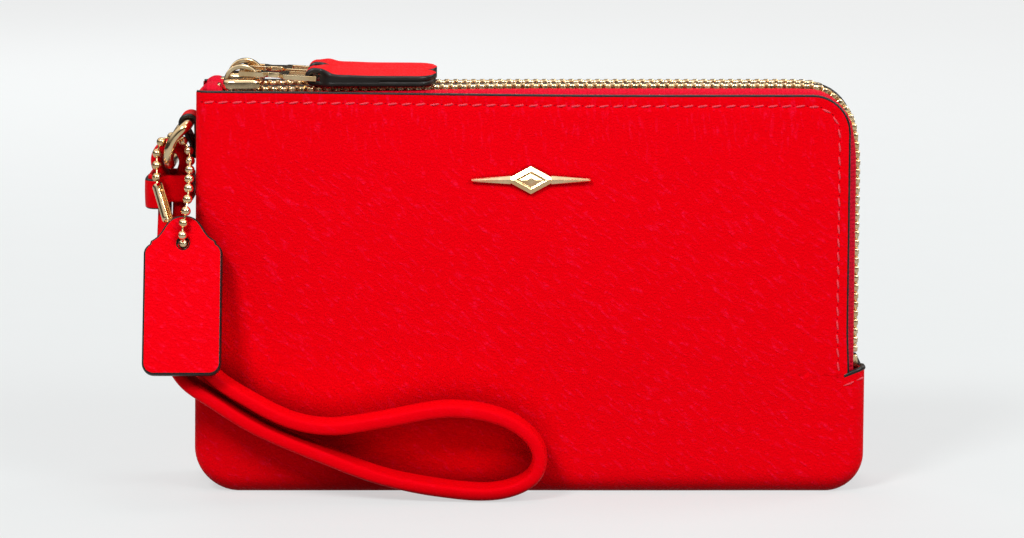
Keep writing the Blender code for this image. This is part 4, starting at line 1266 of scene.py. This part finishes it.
def make_ring_tab():
    """Leather tab folded round the ring's bar, both its plies running down the side of the wallet; their dark
    painted edges also stand in for the shade beside the panel's left edge.
    """
    low, high = corners_mm("ring_tab")
    thick = RING_TAB_THICK
    centre = RING_WIRE + 0.1 + thick / 2
    wall = RING_BAR.x + centre
    foot = low.z - 1.5
    line = [(wall, foot), (wall, RING_BAR.z - 3.0)]
    line += arc((RING_BAR.x, RING_BAR.z), centre, 0, 235, 22)
    line += [(wall - thick - 0.05, RING_BAR.z - 5.0), (wall - thick, foot)]
    stations = []
    for i, (x, z) in enumerate(line):
        before, after = neighbours(line, i)
        away = Vector((after[1] - before[1], 0, before[0] - after[0])).normalized()
        stations.append(((x, 0, z), away, Vector((0, 1, 0)), high.y, 0.0))
    tab = Shape()
    tab.add(*leather_strip(stations, thick))
    tab.fit("ring_tab_leather", "wallet", [SMOOTH_SKIN, EDGE_PAINT], "ring_tab", sharp_deg=40)


# Middle line of the strap (x, y, z, thickness): loop over the ring, outer strand, wrist loop, inner strand
STRAP_LINE = (
    (-88.5, 2.0, 84.5, 3.0), (-91.2, 2.0, 83.0, 3.0), (-91.9, 2.0, 80.0, 3.0),
    (-90.3, 2.0, 76.0, 3.0), (-90.2, 1.9, 70.0, 3.0), (-90.2, -3.6, 60.0, 3.0),
    (-90.0, -11.6, 49.5, 3.0), (-88.9, -18.6, 39.5, 3.2), (-84.4, -21.5, 30.6, 3.5),
    (-77.0, -21.6, 24.9, 3.6), (-66.0, -21.6, 18.0, 3.6), (-52.0, -21.6, 11.9, 3.6),
    (-36.0, -21.6, 5.8, 3.6), (-20.0, -21.6, 2.6, 3.6), (-8.0, -21.6, 2.1, 3.6),
    (0.2, -21.6, 5.2, 3.6), (2.6, -21.6, 10.6, 3.6), (0.0, -21.6, 16.2, 3.6),
    (-7.5, -21.6, 20.8, 3.6), (-20.0, -21.6, 22.6, 3.6), (-36.0, -21.6, 19.9, 3.6),
    (-48.0, -21.6, 18.2, 3.6), (-58.0, -21.6, 19.8, 3.5), (-68.0, -21.6, 24.8, 3.4),
    (-77.0, -21.5, 31.0, 3.4), (-83.6, -18.8, 39.5, 3.2), (-85.6, -11.8, 49.5, 3.0),
    (-86.4, -3.6, 60.0, 3.0), (-86.6, 1.9, 70.0, 3.0), (-86.2, 2.0, 76.0, 3.0),
    (-85.0, 2.0, 80.0, 3.0), (-85.8, 2.0, 83.0, 3.0),
)
STRAP_WIDTH = 9.0


def make_strap():
    """Leather band with turned, rounded edges and a seam line on each face."""
    path = curve_through(STRAP_LINE, 10, closed=True)
    rings = []
    for i, station in enumerate(path):
        here = Vector(station[:3])
        before, after = neighbours(path, i, closed=True)
        along = (Vector(after[:3]) - Vector(before[:3])).normalized()
        across = Vector((0, 1, 0)).cross(along).normalized()
        wide = along.cross(across)
        half = station[3] / 2 + 0.06 * rough(*here, 7.0)
        edge = STRAP_WIDTH / 2
        ring = []
        for a in turns(28):
            c, s = math.cos(a), math.sin(a)
            thick_part = half * squared(c, 0.62)
            wide_part = edge * squared(s, 0.42)
            groove = 0.16 * math.exp(-((abs(wide_part) - edge + 1.5) / 0.35) ** 2)
            thick_part -= math.copysign(groove, thick_part) if abs(c) > 0.3 else 0
            ring.append(here + across * thick_part + wide * wide_part)
        rings.append(ring)
    Shape(rings, closed=True).fit("strap_leather", "strap", [SMOOTH_SKIN], "wrist_strap")


def band_stations(line, middle_z, half, closed):
    """Stations of an upright band that follows a flat line."""
    stations = []
    for i, (x, y) in enumerate(line):
        before, after = neighbours(line, i, closed)
        away = Vector((after[1] - before[1], before[0] - after[0], 0)).normalized()
        stations.append(((x, y, middle_z), away, Vector((0, 0, 1)), half, 0.12))
    return stations


def make_keeper():
    """Band round both strands, with its painted end lapped over the outer side."""
    low, high = corners_mm("strap_keeper")
    middle = (low + high) / 2
    thick, corner = 1.2, 1.6
    half_x, half_y = (high.x - low.x - thick) / 2 - corner, (high.y - low.y - thick) / 2 - corner
    line = rounded_box(middle.x, middle.y, half_x, half_y, corner, 8)
    band = Shape()
    half = (high.z - low.z) / 2
    points, faces, _ = leather_strip(band_stations(line, middle.z, half, True), thick, closed=True)
    band.add(points, faces)
    lap = [(low.x - 0.1, high.y - 1.0), (low.x - 0.4, middle.y + 2.5), (low.x - 0.45, middle.y - 1.0),
           (low.x - 0.3, low.y + 2.2), (low.x + 0.3, low.y + 0.4), (low.x + 1.4, low.y - 0.5),
           (low.x + 3.2, low.y - 0.65)]
    lap = [tuple(p) for p in curve_through(lap, 5)]
    band.add(*leather_strip(band_stations(lap, middle.z - 1.3, half + 0.3, False), 1.0))
    band.fit("keeper_leather", "strap", [SMOOTH_SKIN, EDGE_PAINT], "strap_keeper", sharp_deg=60)


TAG_DOWN = Vector((1, 0, 0)).cross(Vector(JOINTS["tag_swing"]["axis"]))
TAG_OUT = Vector(JOINTS["tag_swing"]["axis"])
CONNECTOR_TOP = Vector((-91.0, -8.9, 75.9))
CONNECTOR_BOTTOM = Vector((-88.1, -13.4, 67.7))
CONNECTOR_RADIUS = 1.4
BALL_PITCH, BALL_RADIUS, CHAIN_WIRE = 2.95, 1.18, 0.27


def chain_line():
    hole, down, out = TAG_HOLE, TAG_DOWN, TAG_OUT
    along = (CONNECTOR_BOTTOM - CONNECTOR_TOP).normalized()
    return [
        CONNECTOR_TOP - along * 0.4,
        Vector((-91.3, -7.2, 79.8)), Vector((-91.2, -5.9, 83.6)), Vector((-89.9, -5.9, 86.4)),
        Vector((-87.8, -5.9, 87.3)), Vector((-85.4, -6.0, 86.7)), Vector((-83.7, -6.8, 84.9)),
        Vector((-82.9, -9.2, 82.0)), Vector((-82.8, -13.2, 78.8)), Vector((-82.8, -17.2, 75.0)),
        Vector((-83.3, -19.6, 70.4)),
        hole - down * 3.6 + out * 3.1,
        hole - down * 0.8 + out * 2.8,
        hole,
        hole - down * 0.9 - out * 2.7,
        hole - down * 3.0 - out * 3.4 + Vector((-1.4, 0, 0)),
        CONNECTOR_BOTTOM + along * 0.4,
    ]


def make_chain():
    """Balls on a thin wire."""
    line = curve_through(chain_line(), 24)
    length = sum(float(np.linalg.norm(b - a)) for a, b in zip(line, line[1:]))
    balls = round(length / BALL_PITCH)
    pitch = length / balls
    fine = evenly(line, pitch / 2)
    chain = Shape()
    for spot in fine[1::2]:
        chain.add(*ball(spot, BALL_RADIUS))
    chain.add(*tube(evenly(line, 0.7), CHAIN_WIRE, 8))
    chain.fit("chain_balls", "chain", [GOLD], "ball_chain", sharp_deg=60)


def make_connector():
    """Split metal tube with lipped ends that grips the last ball at each end."""
    axis = CONNECTOR_BOTTOM - CONNECTOR_TOP
    length = axis.length
    down = axis / length
    side = down.cross(Vector((0.55, -1, 0))).normalized()
    front = side.cross(down).normalized()
    if front.y > 0:
        front = -front
    rings = []
    stations = (0.0, 0.15, 0.5, 0.9, length - 0.9, length - 0.5, length - 0.15, length)
    shares = (0.82, 0.93, 1.02, 1.0, 1.0, 1.02, 0.93, 0.82)
    wall = 0.25
    gap_deg = 34
    for t, share in zip(stations, shares):
        radius = CONNECTOR_RADIUS * share
        angles = np.radians(np.linspace(gap_deg, 360 - gap_deg, 22))
        centre = CONNECTOR_TOP + down * t
        outward = [front * math.cos(a) + side * math.sin(a) for a in angles]
        outer = [centre + out * radius for out in outward]
        inner = [centre + out * (radius - wall) for out in outward[::-1]]
        rings.append(outer + inner)
    Shape(rings).fit("connector_tube", "chain", [GOLD], "chain_connector", sharp_deg=40)


TAG_HALF_WIDTH, TAG_FOOT, TAG_TOP = 9.5, 32.2, 6.9
TAG_CORNER, TAG_SHOULDER = 2.8, 3.3
TAG_HALF_THICK, TAG_HOLE_RADIUS, TAG_PAINT = 1.5, 1.5, 0.42


def tag_outline():
    """Outline (across, down from the hole), evenly dense: domed top, concave shoulders, square foot."""
    half_width, foot, top = TAG_HALF_WIDTH, TAG_FOOT, TAG_TOP
    corner, shoulder = TAG_CORNER, TAG_SHOULDER
    right = [(0.0, -top), (1.6, -top + 0.2), (3.1, -top + 0.95), (4.3, -top + 2.3), (5.3, -top + 3.9)]
    right += [(6.5, -top + 5.3), (7.8, -top + 6.2)]
    right = [tuple(p) for p in curve_through(right, 5)]
    right += arc((half_width - shoulder + 0.6, -top + 9.4), shoulder - 0.6, -62, 0, 8)
    right += [(half_width, d) for d in spaced(-top + 10.5, foot - corner - 0.8, 2.0)]
    right += arc((half_width - corner, foot - corner), corner, 0, 90, 10)
    right += [(a, foot) for a in spaced(half_width - corner - 1.0, 0.0, 1.6)]
    left = [(-a, d) for a, d in right[::-1]][1:-1]
    return right + left


def make_tag():
    """Two layers of leather glued back to back, painted round the edge, with a punched hole."""
    outline = [Vector(p) for p in tag_outline()]
    count = len(outline)
    half, paint = TAG_HALF_THICK, TAG_PAINT
    near_hole = [(0.22, half, 1), (0.24, half + 0.01, 0)]
    face = [(f, half + 0.10 * math.sin(math.pi * f), 0) for f in (0.2, 0.4, 0.6, 0.8)]
    rim = [(-paint - 0.02, half, 0), (-paint, half, 1), (-0.12, half - 0.2, 1), (0.06, half - 0.7, 1)]
    front = [("hole", *row) for row in near_hole] + [("face", *row) for row in face]
    front += [("rim", *row) for row in rim]
    back = [(kind, amount, -height, slot) for kind, amount, height, slot in front[::-1]]
    rows = [("hole", 0.0, half - 0.2, 1)] + front + [("rim", 0.08, 0.0, 1)] + back
    rows += [("hole", 0.0, 0.2 - half, 1)]
    loops = []
    for kind, amount, height, _ in rows:
        loop = []
        for i, p in enumerate(outline):
            start = p.normalized() * TAG_HOLE_RADIUS
            along = outline[(i + 1) % count] - outline[i - 1]
            outward = Vector((-along.y, along.x)).normalized()
            if outward.dot(p) < 0:
                outward = -outward
            spot = {
                "hole": start + p.normalized() * amount,
                "face": start + (p - start) * amount,
                "rim": p + outward * amount,
            }[kind]
            loop.append(TAG_HOLE + Vector((spot.x, 0, 0)) + TAG_DOWN * spot.y + TAG_OUT * height)
        loops.append(loop)
    slots = []
    for row, following in zip(rows, rows[1:] + rows[:1]):
        slots += [1 if row[3] and following[3] else 0] * count
    tag = Shape()
    points, faces = lofted(loops, closed=True)
    tag.add(points, faces, slots)
    tag.fit("tag_leather", "tag", [LEATHER_SKIN, EDGE_PAINT], "hang_tag", sharp_deg=60)


# ---------------------------------------------------------------- badge


BADGE_DEPTH = 1.1
BAR_START, BAR_END, BAR_WIDE, BAR_NARROW = 4.9, 14.5, 1.05, 0.35
LOZENGE_HALF = 6.4


def make_badge():
    """Plain ornament: a faceted lozenge between two tapered, ridged bars."""
    low, high = corners_mm("badge")
    centre = (low + high) / 2
    front, back = low.y, low.y + BADGE_DEPTH
    badge = Shape()
    half = (high.z - low.z) / 2

    def ridge(x0, x1, h0, h1):
        """Bar from x0 to x1 with half heights h0 and h1 and a raised middle line."""
        rings = []
        for x, h in ((x0, h0), (x1, h1)):
            section = ((-h, back), (-h, front + 0.55), (0.0, front + 0.05), (h, front + 0.55), (h, back))
            rings.append([(centre.x + x, y, centre.z + z) for z, y in section])
        badge.add(*lofted(rings))

    ridge(-BAR_END, -BAR_START, BAR_NARROW, BAR_WIDE)
    ridge(BAR_START, BAR_END, BAR_WIDE, BAR_NARROW)
    outline = ((-LOZENGE_HALF, 0), (0, half), (LOZENGE_HALF, 0), (0, -half))
    rings = []
    facets = ((1.0, 0.45), (0.62, -0.1), (0.5, 0.25), (0.18, -0.35))
    for share, y in [(1.0, back)] + [(share, front + step) for share, step in facets]:
        rings.append([(centre.x + x * share, y, centre.z + z * share) for x, z in outline])
    badge.add(*lofted(rings))
    piece = badge.fit("badge_metal", "front_flap", [GOLD], "badge", smooth=False)
    round_edges(piece, 0.12, 2, harden=False)
    refined("badge_backing_plate", "badge_plate", "front_flap", 0.15)


# ---------------------------------------------------------------- stage


# Glow of the floor: as the camera sees it nearby and far away, as metal mirrors it, and as light
GLOW_NEAR, GLOW_FAR, GLOW_MIRRORED, GLOW_BOUNCE = 0.575, 0.76, 0.26, 0.17
HORIZON = 0.87
ROOM_LIGHT = 0.13
LIT_POINT = (0, 0, 0.05)


def make_stage():
    """Wide, plain, pale floor that fades into the same pale background."""
    half = 6.0
    corners = [(-half, -half, 0), (half, -half, 0), (half, half, 0), (-half, half, 0)]
    mesh = bpy.data.meshes.new("floor")
    mesh.from_pydata(corners, [], [(0, 1, 2, 3)])
    n = Nodes("floor_paper", (0.26, 0.26, 0.26), 0.9)
    n.colour(n.mix(n.noise(40, 3).outputs["Fac"], (0.240, 0.262, 0.262), (0.250, 0.272, 0.272)))
    n.shader.inputs["Specular IOR Level"].default_value = 0.1
    n.shader.inputs["Emission Color"].default_value = (1.0, 1.0, 1.0, 1.0)
    away = n.add("ShaderNodeVectorMath", operation="LENGTH")
    n.link(n.place, away.inputs[0])
    rays = n.add("ShaderNodeLightPath").outputs
    near, far = GLOW_NEAR - GLOW_BOUNCE, GLOW_FAR - GLOW_BOUNCE
    direct = n.remap(away.outputs["Value"], 0.1, 1.3, near, far, "LINEAR")
    seen = n.math("MULTIPLY", rays["Is Camera Ray"], direct)
    mirrored = n.math("MULTIPLY", rays["Is Glossy Ray"], GLOW_MIRRORED - GLOW_BOUNCE)
    glow = n.math("ADD", n.math("ADD", seen, mirrored), GLOW_BOUNCE)
    n.link(glow, n.shader.inputs["Emission Strength"])
    mesh.materials.append(n.material)
    add_object("floor", mesh)


def add_area_light(name, place, size, power):
    """A lamp that faces the middle of the wallet."""
    data = bpy.data.lights.new(name, "AREA")
    data.shape = "RECTANGLE"
    data.size, data.size_y = size
    data.energy = power
    light = add_object(name, data)
    light.location = place
    light.rotation_euler = (Vector(LIT_POINT) - Vector(place)).to_track_quat("-Z", "Y").to_euler()
    return light


def make_lights():
    add_area_light("key", (-0.40, -0.72, 0.78), (0.25, 0.25), 6.8)
    add_area_light("top", (0.10, 0.15, 1.15), (0.5, 0.3), 1.9)
    add_area_light("fill", (0.62, -0.74, 0.72), (0.4, 0.4), 5.6)
    add_area_light("back_right", (0.75, 0.35, 0.55), (0.35, 0.35), 1.8)
    rear = add_area_light("rear", (-0.25, 0.95, 0.60), (0.6, 0.5), 3.2)
    rear.visible_glossy = False


def make_world():
    """Soft studio room; metal mirrors it as a bright ceiling over dark walls."""
    world = bpy.data.worlds.new("studio")
    world.use_nodes = True
    tree = world.node_tree
    background = tree.nodes["Background"]
    background.inputs["Color"].default_value = (1.0, 1.0, 1.0, 1.0)
    direction = tree.nodes.new("ShaderNodeTexCoord")
    parts = tree.nodes.new("ShaderNodeSeparateXYZ")
    tree.links.new(direction.outputs["Generated"], parts.inputs[0])
    ceiling = tree.nodes.new("ShaderNodeMapRange")
    for key, value in (("From Min", 0.25), ("From Max", 0.6), ("To Min", 0.03), ("To Max", 1.0)):
        ceiling.inputs[key].default_value = value
    tree.links.new(parts.outputs["Z"], ceiling.inputs["Value"])
    rays = tree.nodes.new("ShaderNodeLightPath")
    share = ROOM_LIGHT
    for ray, light in (("Is Glossy Ray", ceiling.outputs["Result"]), ("Is Camera Ray", HORIZON)):
        strength = tree.nodes.new("ShaderNodeMix")
        tree.links.new(rays.outputs[ray], strength.inputs["Factor"])
        for key, value in (("A", share), ("B", light)):
            if isinstance(value, float):
                strength.inputs[key].default_value = value
            else:
                tree.links.new(value, strength.inputs[key])
        share = strength.outputs["Result"]
    tree.links.new(share, background.inputs["Strength"])
    bpy.context.scene.world = world


CAMERA_ELEVATION = math.radians(9.3)
CAMERA_LENS = 135.0
FRAME_WIDTH_MM = 250.3


def make_camera():
    """Long lens, square on to the front panel and a little above it."""
    data = bpy.data.cameras.new("camera")
    data.lens = CAMERA_LENS
    data.sensor_width = 36.0
    distance = FRAME_WIDTH_MM * CAMERA_LENS / data.sensor_width * MM
    target = Vector((-4.2, -HALF_DEPTH, 55.8)) * MM
    away = Vector((0, -math.cos(CAMERA_ELEVATION), math.sin(CAMERA_ELEVATION)))
    camera = add_object("camera", data)
    camera.location = target + away * distance
    camera.rotation_euler = (-away).to_track_quat("-Z", "Y").to_euler()
    data.clip_start = 0.01
    bpy.context.scene.camera = camera
    bpy.context.scene.view_settings.view_transform = "Standard"


for side_name, side_sign in (("front", -1), ("back", 1)):
    make_panel(side_name, side_sign)
    make_edge_paint(side_name, side_sign)
    make_stitches(side_name, side_sign)
    make_lining(side_name, side_sign)
    make_tapes(side_name, side_sign)
    make_tape_end(side_name, side_sign)
    make_teeth(side_name, side_sign)
    make_slider(side_name, side_sign)
    make_zip_metal(side_name)
    make_pull_tab(side_name)
make_gusset()
make_collar_paint()
make_collar_stitches()
make_divider()
make_pockets()
make_ring()
make_ring_tab()
make_strap()
make_keeper()
make_chain()
make_connector()
make_tag()
make_badge()
make_stage()
make_lights()
make_world()
make_camera()
